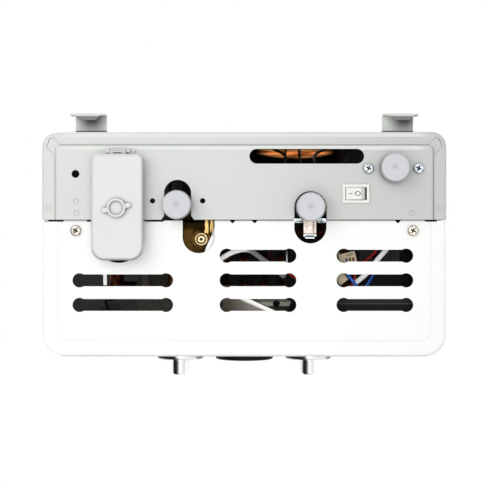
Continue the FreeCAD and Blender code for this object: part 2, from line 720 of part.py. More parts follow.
def make_water_valve_body():
    low_z = base_z + 24.0
    low = round_edges(block(27, 63, mid_y - 36, mid_y + 20, low_z, base_z + 56), 3.0,
                      lambda e: on_plane(e, "z", low_z))
    high = block(linkage_x1, 58, front_y + 10, mid_y - 34, base_z + 46, base_z + 88)
    bars = [block(x, x + 2.6, mid_y + 9.5, mid_y + 19.6, low_z - 5, low_z + 1) for x in (29.2, 25.4)]
    bars[1] = fuse(bars[1], block(25.4, 28, mid_y + 9.5, mid_y + 19.6, low_z - 1, low_z + 12))
    cheek = block(42, 49.5, mid_y - 6, mid_y + 14, low_z - 4, low_z + 1)
    neck = upright(neck_radius, cold_x, cold_y, tray_face - 2.0, base_z + 26)
    riser = upright(10.3, cold_x, cold_y, base_z + 8, base_z + 42)
    shoulder = block(cold_x - 9, cold_x + 9, mid_y + 18, cold_y, low_z + 4, base_z + 46)
    spigot = threaded_spigot(cold_x, cold_y, tray_face - 2.0 - thread_length, tray_face - 2.0,
                             thread_radius)
    drain_boss = upright(7.6, drain_x, drain_y, base_z + 11, base_z + 26)
    side_boss = fuse(upright(7.0, 40.0, mid_y - 14.0, base_z + 16, base_z + 26),
                     upright(4.2, 40.0, mid_y - 14.0, base_z + 12, base_z + 17))
    stem_boss = rod(11.0, (knob_x, front_y + 15, control_z), (knob_x, front_y + 7, control_z))
    outlet_boss = hex_prism(19.0, 52, mid_y + 4, base_z + 54, base_z + 70)
    body = fuse(low, high, cheek, neck, riser, shoulder, spigot, drain_boss, side_boss, stem_boss,
                outlet_boss, *bars)
    bores = [upright(4.2, drain_x, drain_y, base_z + 10, base_z + 22),
             rod(stem_radius + fit_gap, (knob_x, front_y, control_z), (knob_x, front_y + 30, control_z)),
             rod(push_radius + fit_gap, (linkage_x1 - 1, valve_y, valve_z),
                 (linkage_x1 + 14, valve_y, valve_z)),
             upright(7.0, cold_x, cold_y, tray_face - 30, base_z + 20)]
    return body.cut(bores)


def make_valve_brackets():
    """Carry the two valves from the back panel. The gas valve's has a lug that hangs below it."""
    z0 = base_z + 56.0
    arm = block(39, 52, mid_y + 2, back_y - sheet, z0, z0 + 1.5)
    foot = block(39, 52, back_y - sheet - 1.5, back_y - sheet, z0, z0 + 18)
    screws = [upright(2.6, 45.5, mid_y + y, z0 + 1.5, z0 + 3.3) for y in (16, 26)]
    water = fuse(arm, foot, *screws).cut(hex_prism(19.5, 52, mid_y + 4, z0 - 3, z0 + 9))
    outline = [(gas_body_y1, 64), (mid_y - 17.5, 64), (mid_y - 15.5, 38), (mid_y - 3.0, 38),
               (mid_y - 1.0, 64),
               (back_y - sheet, 64), (back_y - sheet, 80), (gas_body_y1, 80)]
    x0, thick = -35.8, 1.2
    wire = Part.makePolygon([Vector(x0, y, base_z + z) for y, z in outline + outline[:1]])
    web = Part.Face(wire).extrude(Vector(thick, 0, 0))
    heel = block(x0 - 12, x0 + thick, back_y - sheet - 1.5, back_y - sheet, base_z + 64, base_z + 80)
    toe = block(x0 - 12, x0 + thick, gas_body_y1, gas_body_y1 + 1.5, base_z + 66, base_z + 80)
    return Part.makeCompound([water, fuse(web, heel, toe)])


def make_diaphragm_housing():
    drum = rod(drum_radius - 1.5, (linkage_x0, valve_y, valve_z), (linkage_x1, valve_y, valve_z))
    drum = round_edges(drum, 2.0, lambda e: len(e.Vertexes) == 1)
    band = rod(drum_radius, (linkage_x0 + 4.4, valve_y, valve_z), (linkage_x0 + 7.6, valve_y, valve_z))
    shape = fuse(drum, band)
    return shape.cut(rod(push_radius + fit_gap, (linkage_x0 - 1, valve_y, valve_z),
                         (linkage_x1 + 1, valve_y, valve_z)))


def make_push_rod():
    shaft = rod(push_radius, (linkage_x0 - 18, valve_y, valve_z), (linkage_x1 + 8, valve_y, valve_z))
    return round_edges(shaft, 0.5, lambda e: len(e.Vertexes) == 1)


gas_body_x0 = -62.0
gas_body_y0 = front_y + 9.0
gas_body_y1 = front_y + 33.5
gas_body_low = base_z + 46.0
gas_entry_x = -54.0
gas_entry_z = base_z + 62.0


def make_gas_valve_body():
    body = block(gas_body_x0, linkage_x0, gas_body_y0, gas_body_y1, gas_body_low, base_z + 88)
    body = round_edges(body, 3.0, lambda e: not on_plane(e, "x", linkage_x0))
    stem_boss = rod(11.0, (-knob_x, gas_body_y0 + 1, control_z), (-knob_x, gas_body_y0 - 2, control_z))
    outlet = block(-24, 0, chamber_front - 8, chamber_front + 3, base_z + 86, burner_z)
    inlet_boss = rod(7.5, (gas_entry_x, gas_body_y1 - 1, gas_entry_z),
                     (gas_entry_x, gas_body_y1 + 6, gas_entry_z))
    shape = fuse(body, stem_boss, outlet, inlet_boss, make_valve_foot())
    bores = [rod(stem_radius + fit_gap, (-knob_x, front_y, control_z),
                 (-knob_x, gas_body_y0 + 18, control_z)),
             rod(push_radius + fit_gap, (linkage_x0 + 1, valve_y, valve_z),
                 (linkage_x0 - 18 - push_travel - 1, valve_y, valve_z))]
    return shape.cut(bores)


def make_valve_foot():
    """The cast foot below the gas valve, with one long bevelled edge."""
    low, high = base_z + 30.0, gas_body_low
    outline = [(-34.0, 10.0), (-34.0, 28.0), (-28.4, 34.4), (-1.4, 46.6), (6.5, 50.4), (8.0, 56.0), (17.4, 56.0),
               (17.4, 10.0)]
    corners = [(x, front_y + y) for x, y in outline]
    foot = plate(corners, [0, 2, 0, 0, 0, 0, 0, 3], low, high)

    def bevelled(edge):
        middle = edge.CenterOfMass
        return on_plane(edge, "z", low) and -29 < middle.x < 3 and middle.y > front_y + 34

    edges = [e for e in foot.Edges if bevelled(e)]
    return foot.makeChamfer(3.6, edges)


def make_solenoid_strap():
    """A folded strap on the valve's underside with a round hole."""
    low, high = gas_body_low - 5.0, gas_body_low - 3.6
    upper = block(-38.6, -8.2, front_y + 40.6, front_y + 43.6, low + 1.2, high + 1.2)
    middle = block(-37.6, -8.2, front_y + 39.4, front_y + 41.2, low + 0.6, high + 1.2)
    lower = plate([(-36.6, front_y + 33.2), (-8.2, front_y + 33.2), (-8.2, front_y + 39.8),
                   (-37.9, front_y + 39.8)], 0, low, high)
    tab = block(-37.0, -12.0, front_y + 30.0, front_y + 33.6, low, gas_body_low)
    strap = fuse(upper, middle, lower, tab).cut(upright(2.95, -26.6, front_y + 40.4, low - 1, high + 3))
    return strap.cut(make_valve_foot())


def make_gas_solenoid():
    y, z = front_y + 24.0, base_z + 68
    coil = rod(11.2, (gas_body_x0 - 22, y, z), (gas_body_x0 - 3, y, z))
    plate_in = block(gas_body_x0 - 3, gas_body_x0, y - 12, y + 12, z - 14, z + 14)
    plate_out = block(gas_body_x0 - 25, gas_body_x0 - 22, y - 12, y + 12, z - 14, z + 14)
    yoke = block(gas_body_x0 - 25, gas_body_x0, y - 12, y + 12, z + 12, z + 14)
    cap = rod(5.0, (gas_body_x0 - 30, y, z), (gas_body_x0 - 25, y, z))
    return fuse(coil, plate_in, plate_out, yoke, cap)


def make_microswitch():
    y0 = gas_body_y1
    body = block(-14, 6, y0, y0 + 8, base_z + 72, base_z + 84)
    lever = block(-10, 8, y0 + 2, y0 + 6, base_z + 70.8, base_z + 72)
    tags = [block(x, x + 1.0, y0 + 2, y0 + 6, base_z + 84, base_z + 89) for x in (-11, -4, 3)]
    return fuse(body, lever, *tags)


def make_stem(x, reach_y):
    """A valve stem with a flat for its knob."""
    y0 = front_y - knob_reach + 5.0
    stem = rod(stem_radius, (x, y0, control_z), (x, reach_y, control_z))
    flat = block(x - 5, x + 5, y0 - 1, front_y + 2, control_z + stem_radius - 0.8, control_z + 5)
    collar = rod(4.6, (x, front_y + 2.2, control_z), (x, front_y + 4.2, control_z))
    return fuse(stem.cut(flat), collar)


def make_knob(x):
    y_in = front_y - 0.5
    y_skirt = front_y - knob_skirt
    y_out = front_y - knob_reach
    skirt = rod(knob_radius, (x, y_skirt, control_z), (x, y_in, control_z))
    skirt = round_edges(skirt, 2.2, lambda e: on_plane(e, "y", y_skirt))
    hub = cone(12.5, 11.0, (x, y_skirt + 1, control_z), (x, y_skirt - 1.0, control_z))
    grip = slot_along_x(0, 0, grip_length, grip_width / 2, 0, y_skirt + 1 - y_out)
    grip.rotate(Vector(0, 0, 0), Vector(0, 0, 1), 90)
    grip.rotate(Vector(0, 0, 0), Vector(1, 0, 0), 90)
    grip.translate(Vector(x, y_skirt + 1, control_z))
    grip = round_edges(grip, 0.9, lambda e: on_plane(e, "y", y_out))
    knob = fuse(skirt, hub, grip)
    mark = block(x - 0.6, x + 0.6, y_out - 1, y_out + 0.5, control_z + 2, control_z + grip_length / 2 - 3)
    under = rod(knob_radius - 2.0, (x, y_in - 2.5, control_z), (x, y_in + 1, control_z))
    under = under.cut(rod(6.0, (x, y_in - 3, control_z), (x, y_in + 2, control_z)))
    y0 = front_y - knob_reach + 5.0
    bore = rod(stem_radius, (x, y0, control_z), (x, front_y + 2, control_z))
    bore = bore.cut(block(x - 5, x + 5, y0 - 1, front_y + 3, control_z + stem_radius - 0.8, control_z + 5))
    return knob.cut([mark, under, bore])


def make_drain_plug():
    head = upright(5.1, drain_x, drain_y, base_z + 5, base_z + 11 - 0.2)
    head = round_edges(head, 0.6, lambda e: on_plane(e, "z", base_z + 5))
    well = upright(4.1, drain_x, drain_y, base_z + 4, base_z + 6.4)
    well = well.cut(upright(2.6, drain_x, drain_y, base_z + 3, base_z + 8))
    socket = upright(1.3, drain_x, drain_y, base_z + 4, base_z + 9)
    slot = block(drain_x - 4.8, drain_x + 4.8, drain_y - 0.5, drain_y + 0.5, base_z + 4, base_z + 5.6)
    shank = upright(4.2 - fit_gap, drain_x, drain_y, base_z + 10, base_z + 21)
    return fuse(head.cut([well, socket, slot]), shank)


# ---------------------------------------------------------------- outlet, gas inlet and caps
def make_hot_outlet_fitting():
    spigot_top = tray_face - 4.0
    neck = upright(neck_radius, hot_x, hot_y, spigot_top, hot_seat + 4)
    spigot = threaded_spigot(hot_x, hot_y, spigot_top - thread_length, spigot_top, thread_radius)
    nut = hex_prism(24.0, hot_x, hot_y, hot_seat, hot_seat + 9)
    top = upright(8.5, hot_x, hot_y, hot_seat + 8, base_z + 34)
    return fuse(neck, spigot, nut, top).cut(upright(7.0, hot_x, hot_y, tray_face - 40, base_z + 26))


def make_outlet_bracket():
    z0, z1 = base_z + sheet, hot_seat
    strip = block(hot_x - 20, hot_x + 20, mid_y + 17.6, mid_y + 20.6, z0, z1)
    ring = upright(10.6, hot_x, hot_y, z0, z1)
    tongue = block(hot_x - 5.0, hot_x + 5.0, mid_y + 6.2, mid_y + 20, z0, z1)
    lips = [block(hot_x + s * 4.4 - 0.6, hot_x + s * 4.4 + 0.6, mid_y + 6.2, mid_y + 18, z0 - 1.6, z0 + 0.2)
            for s in (-1, 1)]
    end = block(hot_x - 3.6, hot_x + 3.6, mid_y + 4.6, mid_y + 6.4, z0 - 0.2, z0 + 6)
    hems = [rod(0.9, (hot_x + s * 12.4, mid_y + 17.8, z0 + 0.2), (hot_x + s * 6, mid_y + 17.8, z0 + 0.2))
            for s in (-1, 1)]
    shape = fuse(strip, ring, tongue, end, *lips, *hems)
    return shape.cut(upright(neck_radius + 0.15, hot_x, hot_y, z0 - 5, z1 + 5))


def make_gas_inlet_fitting():
    outline = [(25.0, 3.0), (9.0, 12.5), (-9.0, 12.5), (-25.0, 3.0), (-25.0, -3.0), (-9.0, -12.5),
               (9.0, -12.5), (25.0, -3.0)]
    flange = plate([(gas_x + x, gas_y + y) for x, y in outline], 2.5, fitting_seat, fitting_seat + 4)
    flange = flange.cut([upright(screw_radius, gas_x + s * flange_screw_pitch / 2, gas_y, fitting_seat - 1,
                                 fitting_seat + 6)
                         for s in (-1, 1)])
    spigot_top = tray_face - 1.0
    neck = upright(neck_radius, gas_x, gas_y, spigot_top, fitting_seat + 1)
    spigot = threaded_spigot(gas_x, gas_y, spigot_top - thread_length, spigot_top, thread_radius)
    top = upright(9.0, gas_x, gas_y, fitting_seat + 3, base_z + 24)
    nut = hex_prism(20.0, gas_x, gas_y, base_z + 12, base_z + 24)
    return fuse(flange, neck, spigot, top, nut).cut(upright(6.0, gas_x, gas_y, tray_face - 40, base_z + 18))


def make_cap(x, y, face_z):
    """A knurled thread cap, open upwards, with a moulding dimple in the middle of its face."""
    root = thread_radius + fit_gap + cap_wall
    corners = []
    for k in range(cap_teeth):
        angle = 2 * math.pi * k / cap_teeth
        step = 2 * math.pi / cap_teeth
        for share, radius in ((0.0, root), (0.25, root), (0.5, root + cap_tooth), (0.75, root + cap_tooth)):
            corners.append((x + radius * math.cos(angle + share * step),
                            y + radius * math.sin(angle + share * step)))
    body = plate(corners, 0, face_z + 1.2, face_z + cap_height)
    face = upright(root, x, y, face_z, face_z + cap_end)
    face = round_edges(face, 1.1, lambda e: on_plane(e, "z", face_z))
    cap = fuse(body, face)
    dish = Part.makeCone(cap_dish, cap_dish - 0.9, 0.6, Vector(x, y, face_z), Vector(0, 0, 1))
    gate = Part.makeCone(0.7, 0.5, 0.5, Vector(x, y, face_z + 0.55), Vector(0, 0, 1))
    inside = upright(thread_radius + fit_gap, x, y, face_z + cap_end, face_z + cap_height + 1)
    return cap.cut([dish, gate, inside])


# ---------------------------------------------------------------- pipes
def exchanger_tube_y(index):
    pitch = 28.0
    return mid_y - 44.0 + pitch * index


tube_z = fin_z + 37.0
tube_reach = chamber_half + 8.0
riser_x = 131.0


def make_cold_pipe():
    y = exchanger_tube_y(0)
    return pipe([(52, mid_y + 4, base_z + 70), (52, mid_y + 4, base_z + 96), (84, mid_y + 6, base_z + 94),
                 (110, mid_y, base_z + 86), (110, mid_y - 44, base_z + 88), (riser_x - 4, y, base_z + 122),
                 (riser_x, y, base_z + 170), (riser_x, y, base_z + 230), (riser_x, y, tube_z - 40),
                 (riser_x, y + 0.2, tube_z), (tube_reach, y, tube_z)], tube_radius)


def make_hot_pipe():
    y = exchanger_tube_y(tube_count - 1)
    return pipe([(hot_x, hot_y, base_z + 34), (hot_x, hot_y, base_z + 82), (-100, mid_y + 32, base_z + 88),
                 (-riser_x + 2, mid_y + 44, base_z + 104), (-riser_x, y - 2, base_z + 140),
                 (-riser_x, y, base_z + 200),
                 (-riser_x, y + 0.2, tube_z - 40), (-riser_x, y, tube_z), (-tube_reach, y, tube_z)],
                tube_radius)


def make_gas_pipe():
    return pipe([(gas_x, gas_y, base_z + 24), (gas_x, gas_y, base_z + 50), (-96, mid_y + 36, base_z + 52),
                 (-78, mid_y + 24, base_z + 54), (-73, mid_y - 6, base_z + 58),
                 (gas_entry_x, mid_y - 32, gas_entry_z),
                 (gas_entry_x, gas_body_y1 + 6, gas_entry_z)], 4.8)


# ---------------------------------------------------------------- burner
def make_burner_frame():
    half, front, back = chamber_half - 3, chamber_front + 2, chamber_back - 24
    wall = 1.2
    outer = block(-half, half, front, back, burner_z, chamber_z)
    ring = outer.cut(block(-half + wall, half - wall, front + wall, back - wall, burner_z - 1,
                           chamber_z + 1))
    ledge = block(-chamber_half, chamber_half, chamber_front, chamber_back - 20, chamber_z - wall,
                  chamber_z)
    ledge = ledge.cut(block(-half + wall, half - wall, front + wall, back - wall, chamber_z - 5,
                            chamber_z + 1))
    lugs = []
    for side in (-1, 1):
        x0, x1 = sorted((side * (chamber_half - 11), side * (chamber_half)))
        lugs.append(block(x0, x1, chamber_back - 26, back_y - sheet, chamber_z - wall, chamber_z))
        lugs.append(block(x0, x1, back_y - sheet - wall, back_y - sheet, chamber_z - 22, chamber_z))
    return fuse(ring, ledge, *lugs)


def bar_x(index):
    pitch = (2 * chamber_half - 22) / bar_count
    return -chamber_half + 11 + pitch * (index + 0.5)


def make_burner_bars():
    bars = []
    front, back = chamber_front + 3.2, chamber_back - 25.2
    for k in range(bar_count):
        x = bar_x(k)
        low, high = burner_z + 2, chamber_z - 6
        bar = block(x - bar_width / 2, x + bar_width / 2, front, back, low + 8, high)
        throat = rod(4.2, (x, front, low + 8), (x, back - 30, low + 8))
        bar = fuse(bar, throat)
        ports = [block(x - 2.6, x + 2.6, front + 8 + 9 * n, front + 9.4 + 9 * n, high - 3, high + 1)
                 for n in range(12)]
        mouth = rod(2.6, (x, front - 1, low + 8), (x, front + 20, low + 8))
        bars.append(bar.cut(ports + [mouth]))
    return Part.makeCompound(bars)


def make_gas_manifold():
    y1 = chamber_front + 2
    y0 = y1 - 12
    body = block(-chamber_half + 4, chamber_half - 4, y0, y1, burner_z, burner_z + 14)
    body = round_edges(body, 2.0, lambda e: on_plane(e, "y", y0) and e.Length > 50)
    nozzles = [rod(2.2, (bar_x(k), y1 - 1, burner_z + 10), (bar_x(k), y1 + 1.2, burner_z + 10))
               for k in range(bar_count)]
    bosses = [hex_prism(8.0, x, (y0 + y1) / 2, burner_z + 13, burner_z + 17) for x in (-60, 60)]
    return fuse(body, *bosses).fuse(nozzles).removeSplitter()


def frame_openings():
    """Holes for the manifold's nozzles, and the window that the electrodes reach through."""
    y1 = chamber_front + 2
    window = block(electrode_x - 25, electrode_x + 25, chamber_back - 26, chamber_back - 23,
                   electrode_z + 21, chamber_z - 2)
    return [window] + [rod(2.3, (bar_x(k), y1 - 2, burner_z + 10), (bar_x(k), y1 + 3, burner_z + 10))
                       for k in range(bar_count)]


electrode_x = -48.7
electrode_y = chamber_back - 19.5
electrode_z = burner_z + 8.0
insulator_radius = 3.0
lead_radius = 1.3
electrode_pitch = 13.0


def make_electrodes():
    """Two spark rods and the flame sensor on one bracket at the burner's back."""
    y, z = chamber_back - 24.0, electrode_z
    half = electrode_pitch + 7
    web = block(electrode_x - half, electrode_x + half, y, y + 1.2, z, z + 7)
    shelf = block(electrode_x - half, electrode_x + half, y, y + 8, z, z + 1.2)
    rods = []
    for side in (-1, 0, 1):
        x = electrode_x + side * electrode_pitch
        insulator = rod(insulator_radius, (x, electrode_y, z - 8), (x, electrode_y, z + 14))
        tip = pipe([(x, electrode_y, z + 13), (x, electrode_y, z + 24), (x - 4 * side, y - 5, z + 24.5)], 1.1)
        tail = rod(1.3, (x, electrode_y, z - 11), (x, electrode_y, z - 7))
        rods += [insulator, tip, tail]
    return fuse(web, shelf, *rods)


def make_ignition_leads():
    """Black leads that fan out from the electrodes to a clip on the back panel."""
    tail_z = electrode_z - 11 - lead_radius
    end_y = chamber_back + 0.6
    leads = []
    for side in (-1, 0, 1):
        x = electrode_x + side * electrode_pitch
        end = electrode_x + side * 27.6
        bend = (electrode_x + side * 11.8, chamber_back - 9.0 + 2.0 * abs(side))
        leads.append(pipe([(end, end_y, base_z + 132), (end, end_y, base_z + 116), (*bend, base_z + 108),
                           (x, chamber_back - 16.0, tail_z - 2), (x, electrode_y - 1, tail_z)],
                          lead_radius))
    clip = block(-80.0, -16.0, chamber_back - 0.8, back_y - sheet, base_z + 124, base_z + 132)
    return fuse(clip, *leads)


# ---------------------------------------------------------------- heat exchanger and flue
def make_chamber_jacket():
    wall = 0.9
    outer = plate(rectangle(-chamber_half, chamber_half, chamber_front, chamber_back), 8, chamber_z, fin_z)
    inner = plate(rectangle(-chamber_half + wall, chamber_half - wall, chamber_front + wall,
                            chamber_back - wall), 7.1,
                  chamber_z - 1, fin_z + 1)
    shell = outer.cut(inner)
    beads = []
    bead_radius = 3.2
    for k in range(4):
        z = chamber_z + 18 + 28 * k
        for y, inward in ((chamber_front + wall / 2, -1), (chamber_back - wall / 2, 1)):
            bead = rod(bead_radius, (-chamber_half + 12, y, z), (chamber_half - 12, y, z))
            hollow = rod(bead_radius - wall, (-chamber_half + 12.9, y, z), (chamber_half - 12.9, y, z))
            y0, y1 = sorted((y, y + 10 * inward))
            side = block(-200, 200, y0, y1, z - 5, z + 5)
            beads.append(bead.common(side).cut(hollow))
            shell = shell.cut(hollow)
    lip_y = chamber_back - 20.0
    lip = block(-chamber_half + 12, chamber_half - 12, lip_y, chamber_back, chamber_z, chamber_z + wall)
    rolls = [rod(lip_roll, (-chamber_half + 13, lip_y + y, chamber_z + z),
                 (chamber_half - 13, lip_y + y, chamber_z + z))
             for y, z in ((5.0, 1.0), (14.6, 0.2), (18.8, -0.6))]
    strap_z = chamber_z + 60
    straps = [block(x - 6, x + 6, chamber_back - wall, back_y - sheet, strap_z - 1.2, strap_z)
              for x in (-70, 70)]
    return fuse(shell, *beads, *straps, lip, *rolls)


def fin_x(index):
    return -chamber_half + fin_thickness / 2 + (2 * chamber_half - fin_thickness) * index / (fin_count - 1)


def make_exchanger_fins():
    """Fins in a row, joined along both edges by the core's side rails."""
    fins = [block(fin_x(k) - fin_thickness / 2, fin_x(k) + fin_thickness / 2, chamber_front, chamber_back,
                  fin_z,
                  fin_z + fin_height) for k in range(fin_count)]
    rails = [block(-chamber_half, chamber_half, y, y + 1.2, fin_z, fin_z + fin_height)
             for y in (chamber_front, chamber_back - 1.2)]
    core = fuse(rails[0], rails[1], *fins)
    holes = [rod(tube_radius + 0.05, (-chamber_half - 1, exchanger_tube_y(k), tube_z),
                 (chamber_half + 1, exchanger_tube_y(k), tube_z)) for k in range(tube_count)]
    return core.cut(holes)


def half_turn(y_a, y_b, x, side):
    """A return bend between two straight tubes."""
    radius = abs(y_b - y_a) / 2
    middle = (y_a + y_b) / 2
    arc = Part.Arc(Vector(x, y_a, tube_z), Vector(x + side * radius, middle, tube_z),
                   Vector(x, y_b, tube_z)).toShape()
    ring = Part.Circle(Vector(x, y_a, tube_z), Vector(side, 0, 0), tube_radius).toShape()
    return Part.Wire([arc]).makePipeShell([Part.Wire([ring])], True, True)


def make_exchanger_tubes():
    pieces = [rod(tube_radius, (-tube_reach, exchanger_tube_y(k), tube_z),
                  (tube_reach, exchanger_tube_y(k), tube_z))
              for k in range(tube_count)]
    for k in range(tube_count - 1):
        side = -1 if k % 2 == 0 else 1
        pieces.append(half_turn(exchanger_tube_y(k), exchanger_tube_y(k + 1), side * tube_reach, side))
    return fuse(*pieces)


hood_z = fin_z + fin_height
throat_top = top_z - sheet - 1.0


def make_flue_hood():
    wall = 0.8
    throat_z = hood_z + hood_height

    def loft(grow):
        low = plate_wire(-chamber_half - grow, chamber_half + grow, chamber_front - grow,
                         chamber_back + grow, hood_z)
        high = plate_wire(-flue_half + 2 - grow, flue_half - 2 + grow, flue_front + 2 - grow,
                          flue_back - 2 + grow,
                          throat_z)
        return Part.makeLoft([low, high], True, True)

    outer, inner = loft(0.0), loft(-wall)
    throat = block(-flue_half + 2, flue_half - 2, flue_front + 2, flue_back - 2, throat_z, throat_top)
    bore = block(-flue_half + 2 + wall, flue_half - 2 - wall, flue_front + 2 + wall, flue_back - 2 - wall,
                 throat_z - 0.5, throat_top + 1)
    straps = [block(x - 7, x + 7, flue_back - 3, back_y - sheet, throat_z + 18, throat_z + 19.2)
              for x in (-40, 40)]
    return fuse(outer, throat, *straps).cut([inner, bore])


def plate_wire(x0, x1, y0, y1, z):
    points = [Vector(x, y, z) for x, y in rectangle(x0, x1, y0, y1)]
    return Part.makePolygon(points + [points[0]])


cap_gap = 15.0                   # open height under the rain cap


def make_rain_cap():
    x0, x1, y0, y1 = -flue_half - 16, flue_half + 16, flue_front - 14, flue_back + 14
    under = top_z + cap_gap
    roof = plate(rectangle(x0, x1, y0, y1), 8, under - 5, under + 5)
    roof = round_edges(roof, 3.0, lambda e: on_plane(e, "z", under + 5))
    roof = roof.cut(plate(rectangle(x0 + 1.2, x1 - 1.2, y0 + 1.2, y1 - 1.2), 6.8, under - 6, under + 3.8))
    posts = []
    for x in (-flue_half - 7, flue_half + 7):
        for y in (flue_front - 6, flue_back + 6):
            posts.append(upright(2.6, x, y, top_z + 1.5, under + 4))
    collar = plate(rectangle(-flue_half - 10, flue_half + 10, flue_front - 9, flue_back + 9), 6, top_z,
                   top_z + 1.5)
    collar = fuse(collar, plate(rectangle(-flue_half - 1.5, flue_half + 1.5, flue_front - 1.5,
                                          flue_back + 1.5), 5,
                                top_z, top_z + 5))
    collar = collar.cut(plate(rectangle(-flue_half, flue_half, flue_front, flue_back), 4, top_z - 1,
                              top_z + 8))
    return fuse(roof, collar, *posts)


def make_thermostat():
    x = -chamber_half
    y, z = mid_y + 20, fin_z - 30
    disc = rod(8.0, (x - 5, y, z), (x, y, z))
    stub = rod(5.0, (x - 10, y, z), (x - 5, y, z))
    tags = [block(x - 16, x - 10, y + s * 2.6 - 0.4, y + s * 2.6 + 0.4, z - 2, z + 2) for s in (-1, 1)]
    return fuse(disc, stub, *tags)


# ---------------------------------------------------------------- ignition, switch and wiring
def make_ignition_box():
    """Two stepped halves: the deep front half lies lower, and the rear half carries the terminals."""
    x0, x1 = -142.0, -70.0
    step_y = mid_y - 38.0
    front = block(x0, x1, front_y + 4, step_y, base_z + 21.5, base_z + 48)
    front = round_edges(front, 2.0, lambda e: abs(e.Length - 26.5) < 0.01)
    ledge = block(x0 + 1, x1 - 1, mid_y - 50.2, step_y - 0.6, base_z + 20, base_z + 22)
    rear = block(x0, -90.0, step_y - 1, mid_y + 4, base_z + 34, base_z + 48)
    arm = block(x0 + 2, x0 + 14, mid_y + 2, mid_y + 33, base_z + 44, base_z + 46)
    leg = block(x0 + 2, x0 + 14, mid_y + 31, mid_y + 33, tray_floor, base_z + 46)
    foot = block(x0 + 2, x0 + 14, mid_y + 31, mid_y + 40, tray_floor, tray_floor + 2)
    terminals = [block(x0 + 12 + 8 * k, x0 + 16 + 8 * k, mid_y - 10, mid_y - 4, base_z + 47, base_z + 53)
                 for k in range(5)]
    return fuse(front, ledge, rear, arm, leg, foot, *terminals)


rocker_half = 4.8                # half its width, along Y


def make_switch_housing():
    bezel_z = tray_face - 1.4
    bezel = block(switch_x - 11, switch_x + 11, switch_y - 7.7, switch_y + 7.7, bezel_z, tray_face)
    bezel = round_edges(bezel, 0.9, lambda e: on_plane(e, "z", bezel_z) or e.Length < 1.5)
    body = block(switch_x - 9.5, switch_x + 9.5, switch_y - 6.5, switch_y + 6.5, tray_face, tray_face + 17)
    cavity = block(switch_x - 8.6, switch_x + 8.6, switch_y - rocker_half - touch,
                   switch_y + rocker_half + touch,
                   bezel_z - 1, tray_face + 10)
    tags = [block(switch_x + x - 0.4, switch_x + x + 0.4, switch_y - 2.4, switch_y + 2.4, tray_face + 17,
                  tray_face + 25)
            for x in (-4.5, 4.5)]
    pivot = rod(1.0, (switch_x, switch_y - 6, tray_face + 3), (switch_x, switch_y + 6, tray_face + 3))
    return fuse(fuse(bezel, body).cut(cavity), pivot, *tags)


def make_rocker():
    """The rocker leans at rest: its X- end stands proud. It turns on the housing's cross pin."""
    pivot_z = tray_face + 3
    proud = tray_face - 4.4
    flush = tray_face - 2.0
    low = tray_face + 4.6
    profile = [(8.1, flush), (-3.6, proud), (-7.1, tray_face - 0.9), (-3.4, low), (3.4, low),
               (8.2, tray_face - 0.6)]
    points = [Vector(switch_x + x, switch_y - rocker_half, z) for x, z in profile]
    rocker = Part.Face(Part.makePolygon(points + [points[0]])).extrude(Vector(0, 2 * rocker_half, 0))
    rocker = round_edges(rocker, 0.4, lambda e: max(v.Point.z for v in e.Vertexes) < tray_face - 0.7)
    return rocker.cut(rod(1.0 + fit_gap, (switch_x, switch_y - 9, pivot_z),
                          (switch_x, switch_y + 9, pivot_z)))


def inside(x, y, height):
    """A point given from the middle of the underside."""
    return (x, mid_y + y, base_z + height)


def turned_block(centre, size, degrees):
    x, y, z = centre
    a, b, c = (s / 2 for s in size)
    shape = block(x - a, x + a, y - b, y + b, z - c, z + c)
    shape.rotate(Vector(x, y, z), Vector(0, 0, 1), degrees)
    return shape


def make_wire_connectors():
    plug = turned_block(inside(-83.6, -11.6, 15), (13.5, 9.5, 9), -14)
    plug = round_edges(plug, 0.8, lambda e: abs(e.Length - 9.0) < 0.01)
    windows = [turned_block(inside(-82.6 - 2.7 * k, -12.6 + 0.3 * k, 10.9), (1.7, 2.8, 1.6), -14)
               for k in range(3)]
    windows.append(turned_block(inside(-84.9, -8.6, 10.9), (5.2, 1.3, 1.0), -14))
    ribs = [turned_block(inside(-76.2 - 1.1 * k, -10.4, 15), (0.6, 8.4, 8.4), -14) for k in range(2)]
    plug = fuse(plug.cut(windows), *ribs)
    second = turned_block(inside(-77.4, -26.6, 13), (8.0, 10.5, 8.0), -38)
    return Part.makeCompound([plug, second])


def make_wire_blue():
    to_solenoid = pipe([inside(-82.4, -17.7, 13), inside(-82.0, -21.0, 11), inside(-84.2, -26.0, 8),
                        inside(-91.0, -34.0, 8),
                        inside(-88.0, -39.0, 12), inside(-66.0, -39.5, 18), inside(-64.4, -44.0, 36),
                        inside(-66.4, -50.0, 52), inside(-74.0, -56.0, 60.4)], 1.2)
    to_switch = pipe([inside(-95.0, -39.0, 18), inside(-102.0, -31.0, 19), inside(-106.4, -22.0, 22),
                      inside(-113.0, -10.0, 26), inside(-116.0, 10.0, 27), inside(-104.0, 28.0, 27),
                      inside(switch_x - 4.5, 28.0, 21.0), inside(switch_x - 4.5, 37.6, 21.0)], 1.2)
    return Part.makeCompound([to_solenoid, to_switch])


